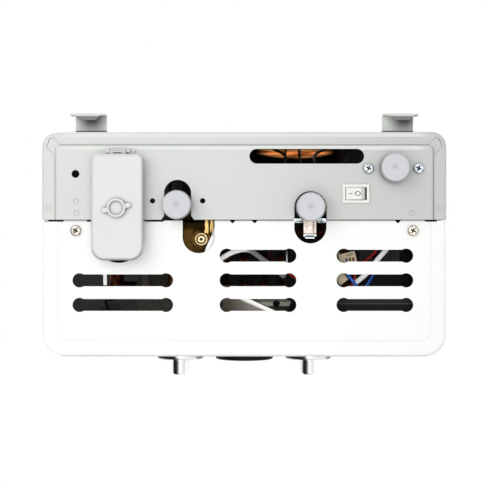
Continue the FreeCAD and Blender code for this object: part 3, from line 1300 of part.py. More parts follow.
def make_wire_red():
    from_plug = pipe([inside(-87.9, -16.0, 13), inside(-90.0, -27.0, 13), inside(-86.0, -36.0, 12.4),
                      inside(-66.0, -38.6, 14),
                      inside(-50.0, -34.0, 20), inside(-38.0, -24.6, 26), inside(-27.0, -18.4, 36),
                      inside(-21.5, -10.0, 46), inside(-20.5, 6.0, 56), inside(-16.0, 4.0, 84),
                      inside(-3.5, -50.5, 91.0)],
                     1.1)
    to_switch = pipe([inside(-94.6, -17.0, 24.5), inside(-101.4, -11.6, 23), inside(-109.0, -4.4, 20),
                      inside(-108.0, 14.0, 20), inside(-96.0, 26.0, 22), inside(switch_x + 4.5, 29.0, 21.0),
                      inside(switch_x + 4.5, 37.7, 21.0)], 1.1)
    return Part.makeCompound([from_plug, to_switch])


def make_wire_sleeves():
    """Thick white sleeves over the wire bundles."""
    drain_side = pipe([inside(16.0, 34.0, 34), inside(20.6, 17.0, 12), inside(25.6, 3.8, 8.6),
                       inside(30.2, -6.0, 8),
                       inside(32.0, -24.0, 12), inside(27.0, -44.0, 26), inside(22.0, -60.0, 43.5)], 2.2)
    arch = pipe([inside(30.0, -29.0, 21.6), inside(27.0, -23.0, 13), inside(20.4, -12.8, 12),
                 inside(11.4, -7.0, 13),
                 inside(-2.2, -3.0, 16), inside(-18.2, -14.6, 26), inside(-33.0, -26.8, 33)], 2.0)
    box_loop = pipe([inside(-88.6, -32.7, 17.4), inside(-100.0, -24.0, 18.2), inside(-109.0, -11.6, 18.2),
                     inside(-118.0, -2.0, 20), inside(-121.0, 20.0, 32), inside(-121.0, 38.0, 64),
                     inside(-104.0, 54.0, 86), inside(-84.0, 59.0, 101.7), inside(-72.0, 60.0, 101.7)], 2.0)
    battery_lead = pipe([inside(112.0, 46.0, 68.0), inside(115.0, 20.0, 72.0), inside(119.0, -12.0, 62),
                         inside(117.0, -30.0, 54), inside(118.0, -50.0, 62), inside(110.0, -74.0, 82),
                         inside(60.0, -80.0, 92), inside(20.0, -76.0, 91), inside(8.0, -72.0, 89.6)], 1.5)
    return Part.makeCompound([drain_side, arch, box_loop, battery_lead])


# ---------------------------------------------------------------- battery compartment
box_top = tray_face + 61.0
cell_bottom = box_top - box_wall - 2.2 - cell_length
lid_face = tray_face - 14.6
lid_rim = lid_face + lid_depth
box_mouth = lid_rim + touch
hinge_y = battery_y + lid_length / 2 + 2.6
hinge_z = lid_rim + 2.6
latch_x = battery_x + 0.4
latch_y = battery_y - 0.6


def make_battery_box():
    y0, y1 = battery_y - box_half_pitch, battery_y + box_half_pitch
    outer = stadium(battery_x, y0, y1, cell_radius + 0.4 + box_wall, box_mouth, box_top)
    inner = stadium(battery_x, y0, y1, cell_radius + 0.4, box_mouth - 1, box_top - box_wall)
    skirt = plate(rectangle(battery_x - lid_width / 2 + 0.8, battery_x + lid_width / 2 - 0.8,
                            battery_y - lid_length / 2 + 1.2, battery_y + lid_length / 2 - 1.6),
                  [lid_round_front - 0.8, lid_round_front - 0.8, lid_round_back - 0.8,
                   lid_round_back - 0.8],
                  box_mouth, box_mouth + 2.4)
    seat = stadium(battery_x, y0, y1, cell_radius + 4.6, tray_face - 1.6, tray_face)
    seat = seat.common(block(battery_x - lid_width / 2 + 0.8, battery_x + lid_width / 2 - 0.8, y0 - 30,
                             y1 + 40,
                             tray_face - 5, tray_face))
    seat = fuse(seat, block(battery_x - 13, battery_x + 13, battery_y + lid_length / 2 - 12, hinge_y + 1.8,
                            tray_face - 1.6,
                            tray_face))
    prongs = []
    for side in (-1, 1):
        x0, x1 = sorted((battery_x + side * 6.9, battery_x + side * 9.4))
        prongs.append(fuse(block(x0, x1, hinge_y - 1.8, hinge_y + 1.8, hinge_z, tray_face),
                           rod(1.8, (x0, hinge_y, hinge_z), (x1, hinge_y, hinge_z))))
    pin = rod(0.9, (battery_x - 9.4, hinge_y, hinge_z), (battery_x + 9.4, hinge_y, hinge_z))
    box = fuse(outer, skirt, seat, *prongs, pin)
    return box.cut(inner)


def make_battery_cells():
    cells = []
    bottom = cell_bottom
    for y, flip in ((battery_y - box_half_pitch, False), (battery_y + box_half_pitch, True)):
        can = upright(cell_radius, battery_x, y, bottom, bottom + cell_length)
        can = round_edges(can, 1.2, lambda e: len(e.Vertexes) == 1)
        end = bottom if flip else bottom + cell_length
        sign = 1 if flip else -1
        low, high = sorted((end, end + sign * 1.6))
        moat = upright(cell_radius + 1, battery_x, y, low,
                       high).cut(upright(4.75, battery_x, y, low - 1, high + 1))
        cells.append(can.cut(moat))
    return Part.makeCompound(cells)


def make_battery_contacts():
    """Pressed contact strips over the cells, with a sprung dimple for each."""
    top = box_top - box_wall
    contacts = []
    for y in (battery_y - box_half_pitch, battery_y + box_half_pitch):
        strip = block(battery_x - 8, battery_x + 8, y - 8, y + 8, top - 0.6, top)
        dimple = upright(4.0, battery_x, y, top - 2.2, top - 0.5)
        contacts.append(fuse(strip, dimple))
    return Part.makeCompound(contacts)


def make_battery_lid():
    half_w, half_l = lid_width / 2, lid_length / 2
    outline = rectangle(battery_x - half_w, battery_x + half_w, battery_y - half_l, battery_y + half_l)
    radii = [lid_round_front, lid_round_front, lid_round_back, lid_round_back]
    shell = plate(outline, radii, lid_face, lid_rim)
    shell = round_edges(shell, 1.8, lambda e: on_plane(e, "z", lid_face))
    inset = rectangle(battery_x - half_w + lid_wall, battery_x + half_w - lid_wall,
                      battery_y - half_l + lid_wall,
                      battery_y + half_l - lid_wall)
    shell = shell.cut(plate(inset, [r - lid_wall for r in radii], lid_face + lid_wall, lid_rim + 1))
    knuckle = fuse(block(battery_x - 6.5, battery_x + 6.5, battery_y + half_l - 1, hinge_y, lid_rim - 3.4,
                         hinge_z + 1.0),
                   rod(2.0, (battery_x - 6.5, hinge_y, hinge_z), (battery_x + 6.5, hinge_y, hinge_z)))
    knuckle = knuckle.cut([rod(0.9 + fit_gap, (battery_x - 8, hinge_y, hinge_z),
                               (battery_x + 8, hinge_y, hinge_z)),
                           block(battery_x - 3.3, battery_x + 3.3, hinge_y - 1.9, hinge_y - 0.9 - 0.3,
                                 hinge_z - 8, hinge_z + 5)])
    pads = [cone(5.5, 3.5, (battery_x, battery_y + s * box_half_pitch, lid_face + lid_wall - 0.2),
                 (battery_x, battery_y + s * box_half_pitch, cell_bottom - touch)) for s in (-1, 1)]
    hole = upright(4.0 + fit_gap, latch_x, latch_y, lid_face - 5, lid_face + 5)
    return fuse(shell, knuckle, *pads).cut(hole)


def make_lid_latch():
    z_out = lid_face - 3.2
    ring = upright(7.4, latch_x, latch_y, z_out, lid_face - 0.15)
    ring = round_edges(ring, 0.5, lambda e: on_plane(e, "z", z_out))
    ears = slot_along_x(latch_x, latch_y, 23.8, 1.9, z_out + 0.6, lid_face - 0.15)
    ears = round_edges(ears, 0.6, lambda e: on_plane(e, "z", z_out + 0.6))
    ears.rotate(Vector(latch_x, latch_y, 0), Vector(0, 0, 1), -12)
    knob = fuse(ring, ears)
    knob = knob.cut(upright(5.7, latch_x, latch_y, z_out - 1, lid_face - 1.1))
    shaft = upright(4.0, latch_x, latch_y, lid_face - 0.5, lid_face + lid_wall + 0.2)
    cam = slot_along_x(latch_x, latch_y, 19.0, 3.2, lid_face + lid_wall + 0.15, lid_face + lid_wall + 1.7)
    return fuse(knob, shaft, cam)


# ---------------------------------------------------------------- build
def main():
    os.makedirs("parts", exist_ok=True)
    save("back_panel", make_back_panel().cut(rivet_holes()))
    save("base_plate", make_base_plate())
    save("front_cover", make_front_cover())
    save("casing_screws", make_casing_screws())
    save("wall_brackets", make_wall_brackets())
    save("hanger_bar", make_hanger_bar())
    save("bracket_rivets", make_bracket_rivets())
    save("handle_ears", make_handle_ears())
    save("handle_bar", make_handle_bar())
    save("handle_grip", make_handle_grip())
    save("window_frame", make_window_frame())
    save("window_glass", make_window_glass())
    save("display_bezel", make_display_bezel())
    save("display_lens", make_display_lens())
    save("display_module", make_display_module())
    save("water_valve_body", make_water_valve_body())
    save("valve_brackets", make_valve_brackets())
    save("diaphragm_housing", make_diaphragm_housing())
    save("push_rod", make_push_rod())
    save("gas_valve_body", make_gas_valve_body())
    save("solenoid_strap", make_solenoid_strap())
    save("gas_solenoid", make_gas_solenoid())
    save("microswitch", make_microswitch())
    save("water_stem", make_stem(knob_x, front_y + 28))
    save("gas_stem", make_stem(-knob_x, gas_body_y0 + 16))
    save("water_knob", make_knob(knob_x))
    save("gas_knob", make_knob(-knob_x))
    save("drain_plug", make_drain_plug())
    save("hot_outlet_fitting", make_hot_outlet_fitting())
    save("outlet_bracket", make_outlet_bracket())
    save("gas_inlet_fitting", make_gas_inlet_fitting())
    save("cold_inlet_cap", make_cap(cold_x, cold_y, tray_face - 2.0 - thread_length - cap_end - touch))
    save("hot_outlet_cap", make_cap(hot_x, hot_y, tray_face - 4.0 - thread_length - cap_end - touch))
    save("gas_inlet_cap", make_cap(gas_x, gas_y, tray_face - 1.0 - thread_length - cap_end - touch))
    save("cold_pipe", make_cold_pipe())
    save("hot_pipe", make_hot_pipe())
    save("gas_pipe", make_gas_pipe())
    save("burner_frame", make_burner_frame().cut(frame_openings()))
    save("burner_bars", make_burner_bars())
    save("gas_manifold", make_gas_manifold())
    save("electrodes", make_electrodes())
    save("ignition_leads", make_ignition_leads())
    save("chamber_jacket", make_chamber_jacket())
    save("exchanger_fins", make_exchanger_fins())
    save("exchanger_tubes", make_exchanger_tubes())
    save("flue_hood", make_flue_hood())
    save("rain_cap", make_rain_cap())
    save("thermostat", make_thermostat())
    save("ignition_box", make_ignition_box())
    save("switch_housing", make_switch_housing())
    save("rocker", make_rocker())
    save("wire_connectors", make_wire_connectors())
    save("wire_blue", make_wire_blue())
    save("wire_red", make_wire_red())
    save("wire_sleeves", make_wire_sleeves())
    save("battery_box", make_battery_box())
    save("battery_cells", make_battery_cells())
    save("battery_contacts", make_battery_contacts())
    save("battery_lid", make_battery_lid())
    save("lid_latch", make_lid_latch())
    print(len(written), "nodes")


main()
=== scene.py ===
import json
import math
from functools import partial

import bpy
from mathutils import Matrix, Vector


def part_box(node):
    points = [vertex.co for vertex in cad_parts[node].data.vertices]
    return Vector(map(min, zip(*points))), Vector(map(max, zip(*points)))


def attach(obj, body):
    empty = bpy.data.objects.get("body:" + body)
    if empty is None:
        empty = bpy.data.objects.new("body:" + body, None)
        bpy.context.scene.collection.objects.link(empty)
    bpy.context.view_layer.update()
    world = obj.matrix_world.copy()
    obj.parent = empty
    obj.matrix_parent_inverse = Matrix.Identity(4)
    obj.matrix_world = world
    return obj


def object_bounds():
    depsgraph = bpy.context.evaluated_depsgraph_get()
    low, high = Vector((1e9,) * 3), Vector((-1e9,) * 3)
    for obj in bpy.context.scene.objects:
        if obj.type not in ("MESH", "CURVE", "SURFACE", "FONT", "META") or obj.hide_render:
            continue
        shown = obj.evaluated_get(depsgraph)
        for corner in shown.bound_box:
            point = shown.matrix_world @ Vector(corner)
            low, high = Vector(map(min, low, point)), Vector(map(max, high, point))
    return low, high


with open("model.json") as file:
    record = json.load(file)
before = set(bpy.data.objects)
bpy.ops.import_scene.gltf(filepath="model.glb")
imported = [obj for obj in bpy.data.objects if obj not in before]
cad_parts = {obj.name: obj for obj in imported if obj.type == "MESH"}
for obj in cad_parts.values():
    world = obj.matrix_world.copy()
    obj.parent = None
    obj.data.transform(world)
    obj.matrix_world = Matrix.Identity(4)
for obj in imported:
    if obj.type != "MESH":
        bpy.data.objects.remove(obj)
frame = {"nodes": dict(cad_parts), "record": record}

bl_info = {
    "name": "Propane water heater",
    "version": (1, 0, 0),
    "blender": (4, 5, 0),
    "location": "View3D > Sidebar > Heater",
    "description": "Finishes, small fittings and a stage for a wall-hung propane water heater",
    "category": "Object",
}

CAD_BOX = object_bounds()
NODES = frame["nodes"]
SLOT_OF = {part["node"]: part["material_slot"] for part in frame["record"]["subparts"]}


def middle_of(box):
    """The middle of a box that is given by two corners."""
    return tuple((low + high) / 2 for low, high in zip(*box))


# reference planes and spots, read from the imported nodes, in metres like every length here
PAN_LOW, PAN_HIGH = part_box("back_panel")
COVER_LOW, COVER_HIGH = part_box("front_cover")
TRAY_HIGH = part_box("base_plate")[1]
UNDERSIDE_Z = PAN_LOW.z
FRONT_Y = COVER_LOW.y
REAR_MARGIN = 0.0057        # from the tray's rear edge to the rear edge that the view is centred on
MIDDLE_Y = (FRONT_Y + (TRAY_HIGH.y + REAR_MARGIN)) / 2
GAS_X, GAS_Y = middle_of(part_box("gas_inlet_cap"))[:2]
DRAIN_X, DRAIN_Y = middle_of(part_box("drain_plug"))[:2]
HOT_X = middle_of(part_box("hot_outlet_cap"))[0]
SCREW_SPOTS = ((GAS_X - 0.02, GAS_Y), (GAS_X + 0.02, GAS_Y), (-0.1348, -0.0952), (0.1348, -0.0952))
TRAY_DIMPLES = ((0.1341, -0.0717), (0.1341, -0.0812), (-0.1336, -0.0810))
PAN_DIMPLES = ((0.1568, -0.0773), (-0.1569, -0.0771))
FRONT_ROW_Y = -0.1500       # what lies in front of this is lit through the front rows of slots
LEFT_PART_X = 0.06          # what lies past this is behind the left-hand slots, seen from below

# boxes as a low and a high corner, where None leaves an axis free
SKIN = 0.0009               # just less than the sheet's thickness, to part inner faces from outer ones
# insides of the flue, the pan and the cover, which get painted shade
FLUE_INSIDE = ((-0.0745, -0.1670, -0.011), (0.0745, -0.0990, 0.0072))
PAN_INSIDE = ((-0.1612, -0.2, UNDERSIDE_Z + SKIN), (0.1612, PAN_HIGH.y - 0.0028, PAN_HIGH.z - SKIN))
COVER_INSIDE = ((-0.1607, FRONT_Y + SKIN, UNDERSIDE_Z + SKIN), (0.1607, 0.0, COVER_HIGH.z - SKIN))
BARE_LUG = ((-0.0975, -0.0420, None), (-0.0845, 0.0, None))
MACHINED_BARS = ((0.0248, -0.0970, None), (0.0322, -0.0860, None))
BARS_COLUMN = ((0.0235, None, None), (0.0335, None, None))
LABEL_PATCHES = (((-0.1060, -0.1205, None), (-0.0950, -0.1120, None)),
                 ((-0.1280, -0.1205, None), (-0.1150, -0.1120, None)))
TONGUE_FOOT = ((HOT_X - 0.0036, -0.1006, None), (HOT_X + 0.0036, -0.0988, None))

# boxes of painted highlight and painted shade: low corner, high corner, factor
TRAY_STEP_X = 0.1490
PAN_STEP_X = 0.1500
PAN_EDGE_Z = UNDERSIDE_Z + 0.004
# a painted highlight along the tray's step, and a painted shade line beside it
TRAY_PAINTED_LIGHT = (((-TRAY_STEP_X, TRAY_HIGH.y - 0.0103, None), (TRAY_STEP_X, TRAY_HIGH.y - 0.0066, None), 1.12),
               ((-TRAY_STEP_X, TRAY_HIGH.y - 0.0066, None), (TRAY_STEP_X, TRAY_HIGH.y - 0.0058, None), 0.42))
# painted shade along the cover's front edge
COVER_PAINTED_SHADE = (((None, None, None), (None, FRONT_Y + SKIN, UNDERSIDE_Z + 0.006), 0.72),)
# a painted highlight along the pan's rear rim, and slight painted shade on its rounding
PAN_PAINTED_LIGHT = (((-PAN_STEP_X, PAN_HIGH.y - 0.0060, None), (PAN_STEP_X, PAN_HIGH.y - 0.0034, PAN_EDGE_Z), 1.09),
              ((-PAN_STEP_X, PAN_HIGH.y - 0.0034, None), (PAN_STEP_X, PAN_HIGH.y + 0.001, PAN_EDGE_Z), 0.97))


# ------------------------------------------------------------------ shader maths
class Field:
    """An output socket with arithmetic: each operation on it adds a Math node."""

    def __init__(self, finish, socket):
        self.finish = finish
        self.socket = socket

    def maths(self, operation, *terms):
        return self.finish.node("ShaderNodeMath", {"operation": operation}, dict(enumerate(terms)))

    def __add__(self, other):
        return self.maths("ADD", self, other)

    def __radd__(self, other):
        return self.maths("ADD", other, self)

    def __sub__(self, other):
        return self.maths("SUBTRACT", self, other)

    def __rsub__(self, other):
        return self.maths("SUBTRACT", other, self)

    def __mul__(self, other):
        return self.maths("MULTIPLY", self, other)

    def __rmul__(self, other):
        return self.maths("MULTIPLY", other, self)

    def __pow__(self, other):
        return self.maths("POWER", self, other)

    def __abs__(self):
        return self.maths("ABSOLUTE", self)

    def __gt__(self, other):
        return self.maths("GREATER_THAN", self, other)

    def __lt__(self, other):
        return self.maths("LESS_THAN", self, other)

    def least(self, other):
        return self.maths("MINIMUM", self, other)

    def most(self, other):
        return self.maths("MAXIMUM", self, other)

    def rise(self, low, high):
        """0 below low, 1 above high and smooth between them. Runs down where low is above high."""
        values = {"Value": self, "From Min": low, "From Max": high}
        return self.finish.node("ShaderNodeMapRange", {"interpolation_type": "SMOOTHSTEP"}, values)

    def within(self, low, high):
        return (self > low) * (self < high)


class Finish:
    """A material being made: its principled shader and the fields that feed it."""

    def __init__(self, name):
        self.name = name
        self.base = None
        self.material = bpy.data.materials.new(name)
        self.material.use_nodes = True
        self.tree = self.material.node_tree
        self.shader = self.tree.nodes["Principled BSDF"]
        self.place = self.node("ShaderNodeTexCoord", output="Object")
        split = self.node("ShaderNodeSeparateXYZ", {}, {"Vector": self.place}, "X").socket.node
        self.x, self.y, self.z = (Field(self, split.outputs[axis]) for axis in "XYZ")

    def node(self, kind, settings=None, sockets=None, output=0):
        """Adds a node, sets it up, fills its sockets with values or links, and gives one of its outputs."""
        made = self.tree.nodes.new(kind)
        for name, value in (settings or {}).items():
            setattr(made, name, value)
        for name, value in (sockets or {}).items():
            self.feed(made.inputs[name], value)
        return Field(self, made.outputs[output])

    def feed(self, socket, value):
        if isinstance(value, Field):
            self.tree.links.new(value.socket, socket)
        elif hasattr(value, "__len__") and socket.type == "RGBA":
            socket.default_value = (*value[:3], 1.0)
        else:
            socket.default_value = value

    def wear(self, **sockets):
        """Sets the shader's sockets by name, with spaces written as underscores."""
        for name, value in sockets.items():
            self.feed(self.shader.inputs[name.replace("_", " ")], value)

    def noise(self, size, detail=2.0, roughness=0.5, stretch=None):
        """Soft noise whose features are about that large, or drawn out by factors along x, y and z."""
        place = self.place
        if stretch:
            scale = tuple(1.0 / factor for factor in stretch)
            place = self.node("ShaderNodeMapping", {}, {"Vector": place, "Scale": scale})
        sockets = {"Vector": place, "Scale": 1.0 / size, "Detail": detail, "Roughness": roughness}
        return self.node("ShaderNodeTexNoise", {}, sockets, "Fac")

    def cells(self, size, output="Distance"):
        """Cells of about that size: the distance from each one's middle, or a colour for each."""
        return self.node("ShaderNodeTexVoronoi", {}, {"Vector": self.place, "Scale": 1.0 / size}, output)

    def blend(self, share, first, second):
        """A colour between two others. The Mix node's sockets share names, so they go by number."""
        settings = {"data_type": "RGBA", "clamp_factor": True}
        return self.node("ShaderNodeMix", settings, {0: share, 6: first, 7: second}, 2)

    def undercoat(self, share, first, second):
        """Starts the base colour, as a blend of two."""
        self.base = self.blend(share, first, second)
        self.wear(Base_Color=self.base)

    def paint(self, share, colour):
        """Lays a colour over the base colour, by a share."""
        self.undercoat(share, self.base, colour)

    def relief(self, height, depth, strength=1.0):
        """Feeds a height field to the shader's normal. Depth is in metres."""
        sockets = {"Height": height, "Distance": depth, "Strength": strength}
        self.wear(Normal=self.node("ShaderNodeBump", {}, sockets, "Normal"))

    def grime(self, reach, depth):
        """Paints shade: darkens the base colour in corners and under edges that have something within reach.
        """
        shelter = self.node("ShaderNodeAmbientOcclusion", {"samples": 8}, {"Distance": reach}, "AO")
        share = (1.0 - shelter).rise(0.02, 0.9) * depth
        self.paint(share, (0.02, 0.019, 0.016))

    # painted light: an emission that makes a part that is no lamp look lit, by a share
    def glow(self, share, colour):
        self.wear(Emission_Color=self.blend(share, (0.0, 0.0, 0.0), colour), Emission_Strength=1.0)

    def out_from(self, x, y):
        """The distance from an upright axis."""
        return ((self.x - x) ** 2.0 + (self.y - y) ** 2.0) ** 0.5

    def boxed(self, low, high):
        """1 inside a box given by two corners; None leaves an axis free."""
        mask = None
        for field, a, b in zip((self.x, self.y, self.z), low, high):
            if a is None and b is None:
                continue
            inside = field.within(-9.0 if a is None else a, 9.0 if b is None else b)
            mask = inside if mask is None else mask * inside
        return mask


def srgb(red, green, blue):
    """Linear colour from screen values of 0 to 255."""
    def linear(value):
        value /= 255.0
        return value / 12.92 if value <= 0.04045 else ((value + 0.055) / 1.055) ** 2.4

    return tuple(linear(value) for value in (red, green, blue))


def shade(colour, factor):
    """The colour made lighter or darker by a factor."""
    return tuple(min(1.0, channel * factor) for channel in colour[:3])


# ------------------------------------------------------------------ finishes
def chosen(name):
    """A colour that the user may change."""
    return getattr(bpy.context.scene.heater_colours, name)


def enamel(finish, colour, roughness, inner=None, inside_shade=(0.0, 0.0, 0.0), painted_bands=(), painted_end_shade=1.0, dimples=()):
    """Baked enamel on sheet steel, with faint orange peel and slow changes of gloss.

    Painted shade inside the inner box, but for its rounded corners, lifted by a faint painted glow.
    Painted bands are boxes of painted highlight and painted shade, lighter or darker by a factor, and the end
    factor is painted shade towards low x. Dimples get a ring of painted shade round them.
    """
    cloud = finish.noise(0.11, 3.0)
    peel = finish.noise(0.0011)
    dust = finish.noise(0.0004, 1.0).rise(0.66, 0.78) * cloud.rise(0.35, 0.7)
    finish.undercoat(cloud, shade(colour, 1.012), shade(colour, 0.975))
    finish.paint(dust * 0.25, shade(colour, 0.8))
    # painted shade, darker towards low x
    if painted_end_shade < 1.0:
        finish.paint(finish.x.rise(0.06, -0.17), shade(colour, painted_end_shade))
    # painted shade inside, lifted by a faint painted glow
    if inner is not None:
        low, high = inner
        corner, rear_corner = 0.018, 0.020
        between = finish.y.within(low[1] + corner, high[1] - rear_corner)
        away = (abs(finish.x) < high[0] - corner).most(between)
        inside = finish.boxed(low, high) * away
        finish.paint(inside, inside_shade)
        finish.glow(inside, shade(inside_shade, 0.18))
    # painted highlight and painted shade in bands
    for low, high, factor in painted_bands:
        zone = finish.boxed(low, high)
        if low[0] is not None:
            soft_end = 0.012
            zone = zone * abs(finish.x).rise(high[0], high[0] - soft_end)
        finish.paint(zone, shade(colour, factor))
    # a ring of painted shade round each dimple
    for x, y in dimples:
        out = finish.out_from(x, y)
        ring = out.rise(0.0016, 0.0020) * out.rise(0.0027, 0.0022) * (finish.z < UNDERSIDE_Z + 0.01)
        finish.paint(ring * 0.5, shade(colour, 0.45))
    # painted shade in corners
    finish.grime(0.006, 0.5)
    finish.wear(Roughness=roughness + 0.1 * (cloud - 0.5) + 0.06 * dust, Specular_IOR_Level=0.45)
    finish.relief(peel + 0.4 * dust, 0.00002, 0.6)


def bracket_enamel(finish):
    """The pan's enamel, with painted shade on the brackets' turned-in lips and webs, and a painted shadow at
    their feet.
    """
    colour = chosen("pan")
    lip_top, web_low, web_top = -0.5172, -0.5168, -0.5030
    lip_back, web_front, web_back, foot_back = -0.0021, -0.0135, -0.0045, -0.0131
    web_x, web_shift = 0.1309, 0.006        # where the painted shade on the web is darkest, and how far that moves on one side
    cloud = finish.noise(0.03, 3.0)
    peel = finish.noise(0.0011)
    finish.undercoat(cloud, shade(colour, 1.0), shade(colour, 0.93))
    # painted shade on the turned-in lip
    lip = (finish.z < lip_top) * (finish.y < lip_back)
    finish.paint(lip, shade(colour, 0.27))
    # painted shade on the web, deepest towards the flange and in its middle, lighter towards its ends
    web = (finish.z > web_low) * (finish.z < web_top)
    web_shade = finish.blend(finish.y.rise(web_front, web_back), shade(colour, 0.56), shade(colour, 0.13))
    across = abs(abs(finish.x) - web_x + web_shift * (finish.x > 0.0))
    web_shade = finish.blend(across.rise(0.001, 0.0155), web_shade, shade(colour, 0.97))
    finish.paint(web, web_shade)
    # a painted contact shadow along the foot
    foot = web * (finish.y < foot_back)
    finish.paint(foot, shade(colour, 0.02))
    finish.wear(Roughness=0.44 + 0.1 * (cloud - 0.5), Specular_IOR_Level=0.35)
    finish.relief(peel, 0.00002, 0.6)


def plated(finish, colour, spangle=0.004, roughness=0.34):
    """Zinc or nickel plate: crystal spangles, fine scratches and dull patches."""
    crystal = finish.cells(spangle, output="Color")
    tone = finish.node("ShaderNodeSeparateColor", {}, {"Color": crystal}, "Red")
    haze = finish.noise(0.02, 4.0, 0.6)
    scratch = finish.noise(0.0009, 3.0, 0.6, (14.0, 1.0, 14.0))
    finish.undercoat(0.35 * tone + 0.35 * haze, colour, shade(colour, 0.68))
    finish.wear(Metallic=1.0, Roughness=roughness + 0.14 * (haze - 0.5) + 0.1 * tone)
    finish.relief(scratch + 0.3 * tone, 0.00002, 0.4)


def cast_metal(finish, colour, pit=0.0008, roughness=0.45, stain=0.5):
    """Sand-cast or die-cast metal, with pits and stains in its hollows."""
    grit = finish.noise(pit, 4.0, 0.65)
    patch = finish.noise(0.014, 3.0, 0.6)
    finish.undercoat(stain * patch.rise(0.35, 0.75), colour, shade(colour, 0.42))
    finish.paint(grit.rise(0.62, 0.75) * 0.4, shade(colour, 0.3))
    finish.wear(Metallic=1.0, Roughness=roughness + 0.2 * (patch - 0.5))
    finish.relief(grit + patch, 0.00012, 0.5)


def aged_brass(finish):
    """Cast brass, dark brown and blotchy, with two machined bars kept bright; painted shade at its back and
    deeper in.
    """
    grit = finish.noise(0.0009, 4.0, 0.65)
    patch = finish.noise(0.012, 3.0, 0.6)
    streak = finish.noise(0.0012, 2.0, 0.5, (1.0, 10.0, 1.0))
    finish.undercoat(patch.rise(0.38, 0.62), srgb(92, 68, 32), srgb(46, 30, 12))
    finish.paint(grit.rise(0.6, 0.72) * 0.5, srgb(52, 36, 16))
    bright = finish.boxed(*MACHINED_BARS) * streak.rise(0.3, 0.6)
    finish.paint(bright, srgb(232, 196, 122))
    # painted shade: darker towards the back beside the bars, and deeper in
    shade_low, shade_high = -0.0957, -0.0925
    shaded = finish.y.rise(shade_low, shade_high) * (1.0 - finish.boxed(*BARS_COLUMN))
    finish.paint(shaded * 0.8, srgb(26, 17, 7))
    deep = finish.z.rise(UNDERSIDE_Z + 0.026, UNDERSIDE_Z + 0.05)
    finish.paint(deep, srgb(38, 28, 15))
    finish.wear(Metallic=1.0, Roughness=0.4 - 0.12 * bright + 0.16 * patch)
    finish.relief(grit + patch, 0.00012, 0.5)


def hidden_brass(finish):
    """Brass fitting, black with painted shade from just below the underside upwards."""
    grit = finish.noise(0.0009, 4.0, 0.65)
    # painted shade: black from just below the underside upwards
    dark = finish.z.rise(UNDERSIDE_Z - 0.006, UNDERSIDE_Z - 0.003)
    finish.undercoat(grit, srgb(196, 158, 88), srgb(140, 108, 56))
    finish.paint(dark, srgb(16, 13, 9))
    finish.wear(Metallic=1.0 - 0.9 * dark, Roughness=0.4 + 0.2 * dark)
    finish.relief(grit, 0.00006, 0.5)


def bright_screws(finish):
    """Nickel screws with painted shade in their recesses; the two that hold the gas inlet are blue-white
    zinc.
    """
    haze = finish.noise(0.0016, 3.0, 0.6)
    turned = finish.noise(0.0004)
    zinc = abs(finish.y - GAS_Y) < 0.008
    plate = finish.blend(haze.rise(0.3, 0.7), srgb(232, 228, 216), srgb(142, 134, 116))
    blue = finish.blend(haze.rise(0.3, 0.6), srgb(240, 244, 246), srgb(150, 164, 170))
    finish.undercoat(zinc, plate, blue)
    head_height, recess_radius, soft_edge = 0.0025, 0.0025, 0.00008
    face = UNDERSIDE_Z - head_height - head_height * zinc
    recess = (finish.z > face + 0.0004) * (finish.z < face + 0.0024)
    cross = None
    for x, y in SCREW_SPOTS:
        spot = finish.out_from(x, y).rise(recess_radius + soft_edge, recess_radius - soft_edge)
        cross = spot if cross is None else cross.most(spot)
    # painted shade in the screws' recesses
    pit = recess * cross
    finish.paint(pit, srgb(34, 27, 18))
    finish.wear(Metallic=1.0 - 0.7 * pit, Roughness=0.3 + 0.2 * haze + 0.3 * pit)
    finish.relief(turned, 0.00001, 0.4)


def sooted(finish, colour=(0.012, 0.011, 0.01)):
    """Steel over a flame: matt black, partly painted shade, with grey flakes and a few rust freckles; its
    rear lug stays bare.
    """
    flake = finish.cells(0.003).rise(0.2, 0.6)
    rust = finish.noise(0.004, 4.0, 0.65).rise(0.62, 0.74)
    # black: partly sooting, partly painted shade
    finish.undercoat(flake * 0.5, colour, srgb(44, 42, 40))
    finish.paint(rust * 0.6, srgb(74, 42, 24))
    bare = finish.boxed(*BARE_LUG)
    finish.paint(bare, finish.blend(flake, srgb(104, 108, 104), srgb(58, 60, 58)))
    finish.wear(Metallic=0.3, Roughness=0.72 - 0.1 * flake, Specular_IOR_Level=0.12)
    # painted light: a faint glow, stronger past the left part and in front of the front rows
    end = finish.x.rise(LEFT_PART_X - 0.01, LEFT_PART_X + 0.01)
    stray = end * (0.5 + 0.5 * (finish.y < FRONT_ROW_Y)) + 0.13 * (1.0 - end)
    finish.glow(stray * (1.0 - bare), (0.027, 0.025, 0.0215))
    finish.relief(flake + rust, 0.0001, 0.5)


